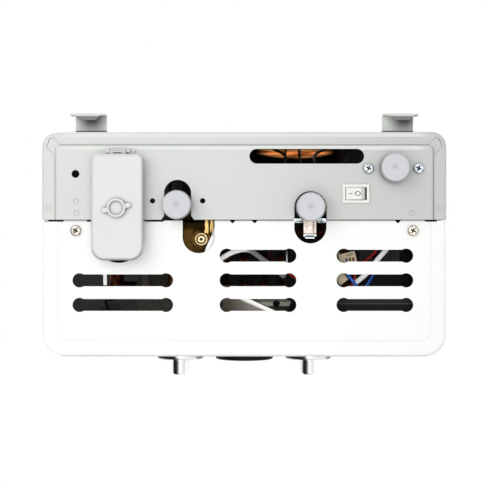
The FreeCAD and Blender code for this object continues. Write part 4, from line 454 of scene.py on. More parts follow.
def jacket_copper(finish):
    """The chamber's copper: black low down, from sooting and painted shade, but for a bare lip lit by a
    painted glow.
    """
    drawn = finish.noise(0.0011, 2.0, 0.5, (16.0, 1.0, 1.0))
    warm = finish.noise(0.02, 3.0, 0.6)
    finish.undercoat(drawn.rise(0.35, 0.65), srgb(255, 178, 104), srgb(214, 112, 52))
    finish.paint(warm.rise(0.5, 0.8) * 0.4, srgb(120, 58, 30))
    soot_top, soot_full, lit_top, lit_full = -0.37, -0.388, -0.366, -0.380
    end_x, sooted_x, slot_shift = 0.0945, 0.065, 0.046
    # black low down, but for the bare lip: partly sooting, partly painted shade
    low = finish.z.rise(soot_top, soot_full)
    along = finish.x + slot_shift
    bare = abs(along).rise(0.036, 0.020) * (finish.y - 3.0 * along * along).rise(-0.0287, -0.0262)
    soot_and_shade = low * (1.0 - bare)
    finish.paint(soot_and_shade, (0.008, 0.006, 0.005))
    # the outer parts are grey, with a faint painted glow
    outer = (finish.y < FRONT_ROW_Y).most(finish.x > end_x) * (1.0 - low * (finish.x < sooted_x))
    finish.paint(outer, srgb(118, 116, 110))
    finish.wear(Metallic=0.25 - 0.2 * soot_and_shade, Roughness=0.45 + 0.3 * soot_and_shade + 0.1 * warm,
                Specular_IOR_Level=0.2)
    # painted light: an orange glow on the bare lip
    lit = bare * finish.z.rise(lit_top, lit_full)
    band = finish.noise(0.0026, 2.0, 0.6, (12.0, 1.0, 6.0)).rise(0.38, 0.6)
    painted_lip_light = finish.blend(band, (0.10, 0.03, 0.008), (0.66, 0.27, 0.085))
    stray = finish.blend(outer, (0.0, 0.0, 0.0), (0.026, 0.025, 0.022))
    finish.wear(Emission_Color=finish.blend(lit, stray, painted_lip_light), Emission_Strength=1.0)
    finish.relief(drawn, 0.00004, 0.5)


def drain_brass(finish):
    """Pale turned brass, with flecked painted shade in its well and black painted shade in its socket."""
    out = finish.out_from(DRAIN_X, DRAIN_Y)
    mottle = finish.noise(0.0011, 3.0, 0.65)
    finish.undercoat(mottle.rise(0.35, 0.65), srgb(246, 228, 188), srgb(196, 162, 104))
    # painted shade, flecked, in the well
    well = out.rise(0.0024, 0.0027) * out.rise(0.0043, 0.0040)
    fleck = finish.cells(0.0012).rise(0.15, 0.5)
    finish.paint(well * (0.45 + 0.5 * fleck), srgb(62, 50, 30))
    # black painted shade in the socket
    hub = out.rise(0.0016, 0.0013)
    finish.paint(hub, srgb(12, 9, 7))
    finish.wear(Metallic=1.0 - 0.8 * hub, Roughness=0.3 + 0.3 * well)
    finish.relief(mottle, 0.00003, 0.5)


def valve_casting(finish):
    """Brushed zinc: painted light makes one side lighter, its slope bright and a band glow; painted shade
    higher up.
    """
    brushed = finish.noise(0.0006, 3.0, 0.6, (1.0, 12.0, 1.0))
    # painted light: lighter towards low x and low y
    painted_light_side = (finish.x + 0.5 * (finish.y + 0.155)).rise(0.014, -0.018)
    steepness, slope_y = 2.17, 0.1553
    down = steepness * (finish.y + slope_y) - finish.x
    # a painted highlight where it slopes off towards the solenoid
    slope = down.rise(0.0030, 0.0072) * (down < 0.0150)
    finish.undercoat(painted_light_side * 0.5, srgb(92, 88, 78), srgb(214, 210, 200))
    finish.paint(slope, srgb(250, 248, 243))
    finish.paint(brushed.rise(0.4, 0.7) * 0.3, srgb(70, 66, 58))
    # a painted glow on a band at one height, strongest on the slope
    edge = (finish.z > UNDERSIDE_Z + 0.0301) * (finish.z < UNDERSIDE_Z + 0.0330) * (finish.x < 0.004)
    # painted shade higher up
    high = finish.z.rise(UNDERSIDE_Z + 0.034, UNDERSIDE_Z + 0.036)
    finish.paint(high, srgb(30, 28, 25))
    finish.glow(edge * (0.16 * painted_light_side + 0.8 * slope).least(1.0), (0.9, 0.88, 0.84))
    finish.wear(Metallic=1.0 - 0.6 * high, Roughness=0.36 + 0.2 * brushed)
    finish.relief(brushed, 0.00002, 0.4)


def ignition_case(finish):
    """Charcoal front half with painted shade in front and a painted highlight on its upper edge; black rear
    with bare dark label patches.
    """
    grain = finish.noise(0.0007)
    cloud = finish.noise(0.02, 3.0, 0.6)
    front = finish.blend(cloud, srgb(66, 67, 66), srgb(52, 52, 51))
    halves_y, dim_y, dim_full_y = -0.1430, -0.1545, -0.1560
    # painted shade towards the front
    front = finish.blend(finish.y.rise(dim_y, dim_full_y) * 0.7, front, srgb(40, 34, 29))
    # a painted highlight line along the upper edge
    edge = finish.y.within(-0.1548, -0.1541)
    front = finish.blend(edge * 0.6, front, srgb(112, 114, 112))
    first, second = LABEL_PATCHES
    patches = finish.boxed(*first).most(finish.boxed(*second))
    rear = finish.blend(patches, srgb(17, 15, 14), srgb(66, 66, 68))
    rear = finish.blend(patches * grain.rise(0.45, 0.55) * 0.4, rear, srgb(38, 38, 40))
    finish.undercoat(finish.y > halves_y, front, rear)
    finish.wear(Roughness=0.5 + 0.1 * (cloud - 0.5), Specular_IOR_Level=0.12)
    finish.relief(grain, 0.00004, 0.6)


def sleeve_fabric(finish):
    """White woven sleeve: painted shade over the gas valve, black painted shade on the battery leads but for
    a short stretch.
    """
    weave = finish.cells(0.0007)
    stain = finish.noise(0.01, 3.0, 0.6)
    finish.undercoat(stain * 0.3, srgb(252, 252, 251), srgb(226, 224, 218))
    stretch_front, stretch_back, gas_valve_end = -0.1405, -0.1290, -0.0450
    # black painted shade on the battery leads, but for the stretch that shows
    lead = (finish.x > LEFT_PART_X) * (1.0 - finish.y.within(stretch_front, stretch_back))
    finish.paint(lead, srgb(16, 15, 15))
    # painted shade over the gas valve
    sleeve_valve_shade = finish.x.rise(0.0010, -0.0060) * (finish.x > gas_valve_end)
    finish.paint(sleeve_valve_shade * 0.75, srgb(84, 90, 90))
    # painted light: a glow on the white stretches towards the front
    lit = (1.0 - lead) * (finish.y < -0.1000) * (1.0 - 0.85 * sleeve_valve_shade)
    finish.glow(lit * (0.38 + 0.62 * (finish.x > LEFT_PART_X)), (0.66, 0.66, 0.65))
    finish.wear(Roughness=0.55, Sheen_Weight=0.2)
    finish.relief(weave, 0.00006, 0.5)


def red_lead(finish):
    """Red insulation, blackened by painted shade where it runs over the gas valve."""
    grain = finish.noise(0.0005)
    finish.undercoat(grain, srgb(172, 24, 22), srgb(146, 20, 19))
    # painted shade where the wire runs over the gas valve
    wire_valve_shade = finish.x.rise(-0.030, -0.020)
    finish.paint(wire_valve_shade * 0.93, (0.004, 0.003, 0.003))
    finish.wear(Roughness=0.4 + 0.3 * wire_valve_shade, Specular_IOR_Level=0.3)
    finish.relief(grain, 0.00002, 0.5)


def outlet_steel(finish):
    """Zinc bracket of the hot outlet with bluish bands, a pale tongue with painted shade and highlight, and
    black painted shade where it hides.
    """
    tongue_front, groove_low, groove_high = -0.0982, HOT_X - 0.0036, HOT_X - 0.0022
    haze = finish.noise(0.003, 3.0, 0.6)
    across = abs(finish.x - HOT_X)
    tongue = across.rise(0.0066, 0.0062)
    finish.undercoat(haze.rise(0.35, 0.65), srgb(222, 230, 232), srgb(112, 128, 134))
    pale = finish.blend(haze.rise(0.35, 0.7) * 0.7, srgb(244, 232, 222), srgb(176, 160, 146))
    # painted shade along the tongue's groove
    groove = finish.x.within(groove_low, groove_high)
    pale = finish.blend(groove * 0.6, pale, srgb(92, 88, 88))
    # painted shade round the tongue's rim
    rim = (across > 0.0050).most(finish.y.within(tongue_front, -0.0972))
    pale = finish.blend(rim * 0.75, pale, srgb(84, 72, 62))
    # a painted highlight at the tongue's foot, darker bluish round it
    foot = finish.blend(finish.boxed(*TONGUE_FOOT), srgb(246, 250, 250), srgb(72, 92, 104))
    pale = finish.blend(finish.y < tongue_front, pale, foot)
    finish.paint(tongue, pale)
    # black painted shade where the bracket is hidden
    hidden = across.rise(0.0128, 0.0132)
    finish.paint(hidden, srgb(22, 21, 20))
    finish.wear(Metallic=(1.0 - 0.5 * tongue) * (1.0 - 0.8 * hidden), Roughness=0.3 + 0.2 * haze)
    finish.relief(haze, 0.00003, 0.4)


def strap_zinc(finish):
    """Zinc strap on the gas valve; black painted shade where it runs back under the burner."""
    haze = finish.noise(0.01, 3.0, 0.6)
    scratch = finish.noise(0.0009, 3.0, 0.6, (1.0, 14.0, 1.0))
    # black painted shade where the strap runs back, and higher up
    dark = finish.y.rise(-0.120, -0.105).most(finish.z.rise(UNDERSIDE_Z + 0.045, UNDERSIDE_Z + 0.06))
    finish.undercoat(haze, srgb(214, 216, 218), srgb(150, 152, 156))
    finish.paint(dark, srgb(24, 23, 22))
    finish.wear(Metallic=1.0 - 0.8 * dark, Roughness=0.34 + 0.3 * dark)
    finish.relief(scratch, 0.00002, 0.4)


def solenoid_zinc(finish):
    """Zinc strap round the solenoid: grey, darker towards the front, with a painted highlight on its pressed
    rib.
    """
    haze = finish.noise(0.01, 3.0, 0.6)
    scratch = finish.noise(0.0009, 3.0, 0.6, (14.0, 1.0, 1.0))
    strap_grey = srgb(98, 98, 94)
    rib_front, rib_back, soft_edge = -0.1573, -0.1541, 0.0005
    rib = finish.y.rise(rib_front - soft_edge, rib_front + soft_edge)
    rib = rib * finish.y.rise(rib_back + soft_edge, rib_back - soft_edge)
    # darker towards the front
    finish.undercoat(finish.y.rise(-0.1570, -0.1580), strap_grey, srgb(44, 39, 32))
    # a painted highlight on the pressed rib
    finish.paint(rib, srgb(168, 166, 154))
    finish.paint(haze * 0.4, shade(strap_grey, 0.6))
    finish.wear(Metallic=1.0, Roughness=0.38 + 0.1 * haze)
    finish.relief(scratch, 0.00002, 0.4)


def cap_moulding(finish):
    """Grey moulded cap, with painted shade between the teeth of its knurled side and in its corners."""
    low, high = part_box(finish.name)
    x, y, _ = middle_of((low, high))
    rim_top = low.z + 0.0013
    tooth_radius, root_radius, knurl_radius = 0.01122, 0.01112, 0.0107
    flow = finish.noise(0.018)
    grain = finish.noise(0.0005)
    colour = chosen("caps")
    across, along = finish.x - x, finish.y - y
    out = (across * across + along * along) ** 0.5
    # painted shade between the teeth
    groove = out.rise(tooth_radius, root_radius) * (out > knurl_radius) * (finish.z > rim_top)
    finish.undercoat(flow, shade(colour, 1.02), shade(colour, 0.96))
    finish.paint(groove * 0.85, shade(colour, 0.12))
    # painted shade in corners
    finish.grime(0.004, 0.95)
    finish.wear(Roughness=0.4 + 0.12 * (flow - 0.5))
    finish.relief(grain, 0.00002, 0.6)


def seat_plastic(finish):
    """The battery box's plastic, painted over with the pan's grey beside the hinge."""
    flow = finish.noise(0.018)
    grain = finish.noise(0.0005)
    lid = chosen("lid")
    hinge_half, hinge_length = 0.0098, 0.012
    low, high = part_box("battery_lid")
    hinge_front = high.y - hinge_length
    finish.undercoat(flow, shade(lid, 1.0), shade(lid, 0.95))
    beside = abs(finish.x - middle_of((low, high))[0]) > hinge_half
    finish.paint(beside * (finish.y > hinge_front), chosen("pan"))
    # painted shade in corners
    finish.grime(0.002, 0.6)
    finish.wear(Roughness=0.45 + 0.1 * (flow - 0.5))
    finish.relief(grain, 0.00002, 0.6)


def moulded(finish, colour, roughness=0.45, grain=0.0005, depth=0.00002, gleam=0.5, corner_shade=0.95):
    """Moulded plastic or rubber: fine grain, slight flow marks, a little handling shine and painted shade in
    corners.
    """
    flow = finish.noise(0.018, 2.0, 0.5, (1.0, 3.0, 1.0))
    texture = finish.noise(grain)
    finish.undercoat(flow, shade(colour, 1.02), shade(colour, 0.96))
    # painted shade in corners, by a depth
    finish.grime(0.004, corner_shade)
    finish.wear(Roughness=roughness + 0.12 * (flow - 0.5) + 0.05 * (texture - 0.5), Specular_IOR_Level=gleam)
    finish.relief(texture, depth, 0.6)


def lid_moulding(finish):
    """The lid's plastic, with painted shade round its rim, heavier towards its free end."""
    colour = chosen("lid")
    low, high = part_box(finish.name)
    half_width, half_length = (high.x - low.x) / 2, 0.042       # the length without the hinge
    middle, centre = middle_of((low, high))[0], low.y + half_length
    hinge_corner, free_corner, free_end = 0.005, 0.0105, 0.014
    corner = hinge_corner + (free_corner - hinge_corner) * (finish.y < centre)
    beside = (abs(finish.x - middle) - half_width + corner).most(0.0)
    beyond = (abs(finish.y - centre) - half_length + corner).most(0.0)
    inward = corner - (beside * beside + beyond * beyond) ** 0.5
    # painted shade round the rim, heavier towards the free end
    rim = inward.rise(0.0028, 0.0002) * (0.26 + 0.64 * finish.y.rise(low.y + free_end, low.y))
    flow = finish.noise(0.018, 2.0, 0.5, (1.0, 3.0, 1.0))
    grain = finish.noise(0.0005)
    finish.undercoat(flow, shade(colour, 1.02), shade(colour, 0.96))
    # painted shade in corners
    finish.grime(0.004, 0.95)
    finish.paint(rim, shade(colour, 0.36))
    finish.wear(Roughness=0.42 + 0.12 * (flow - 0.5))
    finish.relief(grain, 0.00002, 0.6)


def turned_chrome(finish, colour):
    """Satin chrome: fine turned lines and a few finger marks."""
    marks = finish.noise(0.012, 3.0, 0.6)
    lines = finish.noise(0.0003, 2.0, 0.5, (8.0, 1.0, 8.0))
    finish.undercoat(marks * 0.3, colour, shade(colour, 0.8))
    finish.wear(Metallic=1.0, Roughness=0.22 + 0.12 * marks + 0.05 * lines)
    finish.relief(lines, 0.00001, 0.35)


def knob_chrome(finish):
    """Satin chrome, with a painted dark reflection on one side of its turned rim and on its grip's end."""
    x, _, z = middle_of(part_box(finish.name))
    grip_y = -0.2036            # the grip stands out in front of this
    across, drop = finish.x - x, finish.z - z
    out = (across * across + drop * drop) ** 0.5
    marks = finish.noise(0.012, 3.0, 0.6)
    lines = finish.noise(0.0003, 2.0, 0.5, (8.0, 1.0, 8.0))
    # a painted dark reflection on one side of the skirt and on the grip's end
    skirt = out.rise(0.0165, 0.0172) * (finish.y > grip_y) * (drop < 0.0)
    dark = skirt * across.rise(0.0005, 0.0045).most(across.rise(-0.0125, -0.0165) * 0.8)
    grip = (finish.y < grip_y) * (drop < -0.0160)
    dark = dark.most(grip * across.rise(-0.0022, 0.0034))
    finish.undercoat(marks * 0.3, srgb(238, 240, 242), srgb(206, 210, 214))
    finish.paint(dark * 0.95, (0.012, 0.012, 0.013))
    finish.wear(Metallic=1.0 - 0.3 * dark, Roughness=0.22 + 0.12 * marks + 0.05 * lines)
    finish.relief(lines, 0.00001, 0.35)


def copper_tube(finish, colour):
    """Drawn copper: bright where it is clean, brown where it has been warm."""
    warm = finish.noise(0.03, 4.0, 0.6)
    drawn = finish.noise(0.0006, 2.0, 0.5, (1.0, 1.0, 12.0))
    tarnish = warm.rise(0.35, 0.75) * 0.6
    finish.undercoat(tarnish, colour, shade(colour, 0.35))
    finish.wear(Metallic=1.0, Roughness=0.26 + 0.25 * tarnish + 0.05 * drawn)
    finish.relief(drawn + warm, 0.00003, 0.4)


def loop_copper(finish):
    """The cold pipe's copper: brown inside the casing, with a painted highlight along its bend and black
    painted shade under the battery lid.
    """
    warm = finish.noise(0.03, 4.0, 0.6)
    drawn = finish.noise(0.0006, 2.0, 0.5, (1.0, 1.0, 12.0))
    lid_front, lid_full = -0.1290, -0.1255
    bend = finish.x - 0.1135 - 0.42 * (finish.y + 0.137)
    finish.undercoat(warm, srgb(104, 54, 28), srgb(84, 40, 20))
    # a painted highlight along the bend
    finish.paint(abs(bend).rise(0.0028, 0.0008), srgb(214, 124, 72))
    # black painted shade under the battery lid
    hidden = finish.y.rise(lid_front, lid_full) * (finish.x > LEFT_PART_X)
    finish.paint(hidden, srgb(34, 18, 12))
    finish.wear(Metallic=1.0 - 0.7 * hidden, Roughness=0.34 + 0.2 * warm + 0.05 * drawn,
                Specular_IOR_Level=0.2)
    finish.relief(drawn + warm, 0.00003, 0.4)


def window_pane(finish, colour):
    """Clear glass with faint smears."""
    smear = finish.noise(0.02, 3.0, 0.6, (3.0, 1.0, 1.0))
    finish.wear(Base_Color=colour, Transmission_Weight=1.0, IOR=1.45,
                Roughness=0.02 + 0.06 * smear.rise(0.5, 0.8))
    finish.relief(smear, 0.00001, 0.2)


FINISHES = {}


def finish_of(name):
    """The material of a record slot or of a node with its own finish, made on first use."""
    if name not in FINISHES:
        make, *settings = OWN_FINISHES.get(name) or SLOT_FINISHES[name]
        finish = Finish(name)
        make(finish, *(chosen(value) if isinstance(value, str) else value for value in settings))
        FINISHES[name] = finish.material
    return FINISHES[name]


# finishes of the record's slots, for the nodes without their own: a function and what it is given, where a
# word stands for a colour that the user may change
SLOT_FINISHES = {
    "zinc": (plated, srgb(205, 208, 212)),
    "steel_dark": (moulded, srgb(52, 52, 55), 0.5),
    "grip_rubber": (moulded, srgb(38, 38, 40), 0.7, 0.0009, 0.00006),
    "chrome": (turned_chrome, srgb(236, 238, 240)),
    "window_glass": (window_pane, (0.85, 0.9, 0.88)),
    "black_gloss": (moulded, srgb(11, 11, 12), 0.3, 0.0012, 0.000004),
    "black_plastic": (moulded, srgb(34, 34, 36), 0.55),
    "brass": (cast_metal, srgb(188, 152, 84)),
    "cast_zinc": (cast_metal, srgb(168, 170, 174), 0.0006, 0.42, 0.3),
    "copper": (copper_tube, srgb(222, 136, 86)),
    "lid_plastic": (moulded, "lid", 0.42),
    # less painted shade in the rocker's corners
    "rocker_plastic": (partial(moulded, corner_shade=0.35), srgb(241, 240, 236), 0.3),
    "connector_nylon": (moulded, srgb(206, 192, 158), 0.5),
    "blue_wire": (moulded, srgb(18, 96, 196), 0.38),
    "red_wire": (moulded, srgb(166, 24, 22), 0.38),
    "ceramic": (moulded, srgb(236, 232, 222), 0.25),
    "aluminised_steel": (plated, srgb(176, 176, 178), 0.003, 0.42),
    "cell_jacket": (moulded, srgb(46, 46, 50), 0.3),
    "spring_steel": (plated, srgb(206, 202, 194), 0.006, 0.26),
}


# finishes of single nodes, and of the pieces added here
# the last is the factor of painted shade towards low x
PAN_GLOSS, COVER_GLOSS, END_PAINTED_SHADE = 0.42, 0.36, 0.84
OWN_FINISHES = {
    # painted shade inside the pan and the cover, bands of painted highlight and shade, and painted shade
    # towards low x
    "back_panel": (partial(enamel, inner=PAN_INSIDE, inside_shade=(0.02, 0.02, 0.019), painted_bands=PAN_PAINTED_LIGHT,
                           painted_end_shade=END_PAINTED_SHADE, dimples=PAN_DIMPLES), "pan", PAN_GLOSS),
    "front_cover": (partial(enamel, inner=COVER_INSIDE, inside_shade=(0.1, 0.1, 0.096), painted_bands=COVER_PAINTED_SHADE),
                    "cover", COVER_GLOSS),
    "wall_brackets": (bracket_enamel,),
    # bands of painted highlight and shade, and painted shade towards low x
    "base_plate": (partial(enamel, painted_bands=TRAY_PAINTED_LIGHT, painted_end_shade=END_PAINTED_SHADE, dimples=TRAY_DIMPLES), "pan", PAN_GLOSS),
    "cold_inlet_cap": (cap_moulding,),
    "hot_outlet_cap": (cap_moulding,),
    "gas_inlet_cap": (cap_moulding,),
    "casing_screws": (bright_screws,),
    "water_valve_body": (aged_brass,),
    "burner_bars": (sooted,),
    "burner_frame": (sooted,),
    "gas_manifold": (sooted,),
    "chamber_jacket": (jacket_copper,),
    "valve_brackets": (strap_zinc,),
    "gas_valve_body": (valve_casting,),
    "ignition_leads": (moulded, srgb(12, 11, 11), 0.6),
    "ignition_box": (ignition_case,),
    "wire_red": (red_lead,),
    "water_knob": (knob_chrome,),
    "gas_knob": (knob_chrome,),
    "drain_plug": (drain_brass,),
    "wire_sleeves": (sleeve_fabric,),
    "outlet_bracket": (outlet_steel,),
    # near black inside the flue: partly sooting, partly painted shade, with a faint painted glow
    "rain_cap": (enamel, "cover", COVER_GLOSS, FLUE_INSIDE, (0.006, 0.005, 0.004)),
    "display_bezel": (moulded, srgb(9, 9, 10), 0.5, 0.0008, 0.00001, 0.15),
    "battery_box": (seat_plastic,),
    "battery_lid": (lid_moulding,),
    "cold_pipe": (loop_copper,),
    # near black fins: partly sooting, partly painted shade
    "exchanger_fins": (sooted, (0.016, 0.011, 0.008)),
    "solenoid_strap": (solenoid_zinc,),
    "hot_outlet_fitting": (hidden_brass,),
    "brown_wire": (moulded, srgb(134, 82, 40), 0.4),
    "mark_ink": (moulded, srgb(30, 28, 26), 0.6),
    "unlit_segment": (moulded, srgb(34, 36, 38), 0.4),
}


WELD_WITHIN = 0.000002          # metres
SMOOTH_UP_TO = math.radians(30.0)
NODES_SMOOTH_UP_TO = math.radians(32.0)


def dress(nodes):
    """Gives CAD nodes their finish, and smooth shading up to real edges."""
    for name in nodes:
        node = NODES[name]
        node.data.materials.clear()
        node.data.materials.append(finish_of(name if name in OWN_FINISHES else SLOT_OF[name]))
        node.data.polygons.foreach_set("use_smooth", [True] * len(node.data.polygons))
        weld = node.modifiers.new("weld", "WELD")
        weld.merge_threshold = WELD_WITHIN
        split = node.modifiers.new("edges", "EDGE_SPLIT")
        split.split_angle = NODES_SMOOTH_UP_TO
        node.modifiers.new("flat_faces", "WEIGHTED_NORMAL").keep_sharp = True


# ------------------------------------------------------------------ properties
def colour_property(name, description, value):
    return bpy.props.FloatVectorProperty(name=name, description=description, default=value, size=3,
                                         min=0.0, max=1.0, subtype="COLOR")


class HeaterColours(bpy.types.PropertyGroup):
    """Paints and plastics that a user may change."""

    pan: colour_property("Back pan", "Enamel of the back pan and base tray", srgb(217, 220, 216))
    cover: colour_property("Front cover", "Enamel of the front cover", srgb(253, 253, 252))
    caps: colour_property("Thread caps", "Plastic of the three transport caps", srgb(206, 208, 212))
    lid: colour_property("Battery lid", "Plastic of the battery lid and its latch", srgb(226, 226, 225))


# ------------------------------------------------------------------ operators
class HEATER_OT_casing(bpy.types.Operator):
    """Finish the sheet-metal casing, its brackets, handle and screws."""

    bl_idname = "heater.casing"
    bl_label = "Casing"

    def execute(self, context):
        dress(["back_panel", "base_plate", "front_cover", "casing_screws", "wall_brackets", "hanger_bar",
               "bracket_rivets", "handle_ears", "handle_bar", "handle_grip", "rain_cap", "window_frame",
               "window_glass"])
        return {"FINISHED"}


class HEATER_OT_controls(bpy.types.Operator):
    """Finish the knobs, the display and the rocker switch."""

    bl_idname = "heater.controls"
    bl_label = "Controls"

    def execute(self, context):
        dress(["water_knob", "gas_knob", "water_stem", "gas_stem", "display_bezel", "display_lens",
               "display_module", "switch_housing", "rocker"])
        return {"FINISHED"}


class HEATER_OT_water_and_gas(bpy.types.Operator):
    """Finish the valves, pipes, fittings and thread caps."""

    bl_idname = "heater.water_and_gas"
    bl_label = "Water and gas works"

    def execute(self, context):
        dress(["water_valve_body", "valve_brackets", "diaphragm_housing", "push_rod", "gas_valve_body",
               "solenoid_strap", "gas_solenoid", "microswitch", "drain_plug", "hot_outlet_fitting",
               "outlet_bracket", "gas_inlet_fitting", "cold_inlet_cap", "hot_outlet_cap", "gas_inlet_cap",
               "cold_pipe", "hot_pipe", "gas_pipe"])
        return {"FINISHED"}


class HEATER_OT_burner(bpy.types.Operator):
    """Finish the burner, the heat exchanger and the flue."""

    bl_idname = "heater.burner"
    bl_label = "Burner and exchanger"

    def execute(self, context):
        dress(["burner_frame", "burner_bars", "gas_manifold", "electrodes", "ignition_leads",
               "chamber_jacket", "exchanger_fins", "exchanger_tubes", "flue_hood", "thermostat"])
        return {"FINISHED"}


class HEATER_OT_electrics(bpy.types.Operator):
    """Finish the ignition box, the wiring and the battery compartment."""

    bl_idname = "heater.electrics"
    bl_label = "Electrics"

    def execute(self, context):
        dress(["ignition_box", "wire_connectors", "wire_blue", "wire_red", "wire_sleeves", "battery_box",
               "battery_cells", "battery_contacts", "battery_lid", "lid_latch"])
        return {"FINISHED"}


def surface_below(node, x, y):
    """The point on a node's lowest face at a spot, as seen from below, and that face's normal."""
    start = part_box(node)[0].z - 0.01
    return NODES[node].ray_cast((x, y, start), (0.0, 0.0, 1.0))[1:3]


def finished(name, rides, material):
    """Names, finishes and hands over the active piece, whose place goes into its mesh."""
    piece = bpy.context.object
    piece.name = name
    bpy.ops.object.transform_apply(location=True, rotation=True, scale=True)
    bpy.ops.object.shade_smooth_by_angle(angle=SMOOTH_UP_TO)
    piece.data.materials.clear()
    piece.data.materials.append(finish_of(material))
    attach(piece, rides)


def bevelled(width, segments=2):
    """Rounds every edge of the active piece with an applied bevel."""
    bevel = bpy.context.object.modifiers.new("round", "BEVEL")
    bevel.width = width
    bevel.segments = segments
    bpy.ops.object.modifier_apply(modifier=bevel.name)


def joined(pieces):
    """Makes one active piece of several."""
    bpy.ops.object.select_all(action="DESELECT")
    for piece in pieces:
        piece.select_set(True)
    bpy.context.view_layer.objects.active = pieces[0]
    bpy.ops.object.join()


def thin_bar(spot, size, turn=(0.0, 0.0, 0.0)):
    """Adds a bar at its size and place, to be joined to its neighbours and bevelled with them."""
    bpy.ops.object.select_all(action="DESELECT")
    bpy.ops.mesh.primitive_cube_add(size=1.0, location=spot, rotation=turn)
    bpy.context.object.scale = size
    return bpy.context.object


class HEATER_OT_wire_ends(bpy.types.Operator):
    """Add the crimped wire ends that show in the connector's windows."""

    bl_idname = "heater.wire_ends"
    bl_label = "Wire ends"

    def execute(self, context):
        wire_radius, wire_length, spacing, stagger = 0.00105, 0.0046, 0.0027, 0.0003
        turn = (math.radians(84.0), 0.0, math.radians(-14.0))
        for k, material in enumerate(("blue_wire", "brown_wire", "red_wire")):
            spot = (-0.0826 - spacing * k, MIDDLE_Y - 0.0126 + stagger * k, UNDERSIDE_Z + 0.0118)
            bpy.ops.object.select_all(action="DESELECT")
            bpy.ops.mesh.primitive_cylinder_add(vertices=24, radius=wire_radius, depth=wire_length,
                                                location=spot, rotation=turn)
            bevelled(0.0002)
            finished("wire_end_%d" % (k + 1), "casing", material)
        return {"FINISHED"}


class HEATER_OT_marks(bpy.types.Operator):
    """Add the rocker's two marks, the knobs' scales and the display's unlit digits."""

    bl_idname = "heater.marks"
    bl_label = "Marks"

    def execute(self, context):
        self.rocker_marks()
        for node in ("water_knob", "gas_knob"):
            self.knob_scale(node)
        self.digits()
        return {"FINISHED"}

    def rocker_marks(self):
        """The closed and open contact signs, printed on the rocker's slope."""
        row_y = -0.0657
        for name, x in (("rocker_bar", -0.0846), ("rocker_ring", -0.0902)):
            spot, normal = surface_below("rocker", x, row_y)
            turn = normal.to_track_quat("Z", "Y").to_euler()
            if name == "rocker_bar":
                thin_bar(spot, (0.00052, 0.0033, 0.00008), turn)
                bpy.ops.object.transform_apply(location=False, rotation=False, scale=True)
                bevelled(0.00003, 1)
            else:
                bpy.ops.object.select_all(action="DESELECT")
                bpy.ops.mesh.primitive_torus_add(major_radius=0.0016, minor_radius=0.00026, major_segments=40,
                                                 minor_segments=8, location=spot, rotation=turn)
                bpy.context.object.scale = (1.0, 1.24, 0.25)
                bpy.ops.object.transform_apply(location=False, rotation=False, scale=True)
            finished(name, "rocker", "mark_ink")

    def knob_scale(self, node):
        """Ticks printed round a knob, longer at both ends of its travel."""
        x, _, z = middle_of(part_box(node))
        centre = Vector((x, FRONT_Y, z))
        last, travel, scale_radius = 10, 270.0, 0.0225
        ticks = []
        for step in range(last + 1):
            angle = math.radians(travel * (step / last - 0.5))
            length = 0.0042 if step in (0, last) else 0.0026
            middle = scale_radius + length / 2
            spot = centre + Vector((math.sin(angle) * middle, 0.0, math.cos(angle) * middle))
            ticks.append(thin_bar(spot, (0.0006 + 0.00004 * step, 0.00006, length), (0.0, angle, 0.0)))
        joined(ticks)
        bevelled(0.00002, 1)
        finished(node + "_scale", "casing", "mark_ink")

    def digits(self):
        """Two unlit seven-segment digits behind the display's window."""
        low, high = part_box("display_lens")
        x, _, z = middle_of((low, high))
        centre = Vector((x, low.y, z))
        half_pitch, half_width, half_height, bar_width, thickness = 0.0052, 0.0028, 0.0058, 0.0009, 0.00006
        lying, upright = (0.0043, thickness, bar_width), (bar_width, thickness, 0.0047)
        segments = [(0, 1, lying), (0, 0, lying), (0, -1, lying)]
        segments += [(side, up, upright) for up in (0.5, -0.5) for side in (-1, 1)]
        bars = []
        for column in (-1, 1):
            for across, up, size in segments:
                spot = (column * half_pitch + across * half_width, -thickness / 2, up * half_height)
                bars.append(thin_bar(centre + Vector(spot), size))
        joined(bars)
        bevelled(0.00002, 1)
        finished("display_digits", "casing", "unlit_segment")


WORLD_LIGHT = 0.54
SENSOR_WIDTH = 36.0             # millimetres
CAMERA_DISTANCE = 1.05
VIEW_WIDTH = 0.3912             # what the camera sees across at the underside
CAMERA_X, CAMERA_Y = -0.0001, MIDDLE_Y - 0.0009     # a hair off the middle


def look(spot, target):
    """The rotation that turns an object's -Z axis from a spot to a target."""
    return (Vector(target) - Vector(spot)).to_track_quat("-Z", "Y").to_euler()


def unseen_by(thing, *rays):
    """Keeps a stage piece from these kinds of rays."""
    for ray in rays:
        setattr(thing, "visible_" + ray, False)


def add_lamp(name, spot, target, size, power):
    """A round soft light of that width, turned to its target. Its power is in watts."""
    bpy.ops.object.light_add(type="AREA", location=spot, rotation=look(spot, target))
    lamp = bpy.context.object
    lamp.name = name
    lamp.data.shape = "DISK"
    lamp.data.size = size
    lamp.data.energy = power


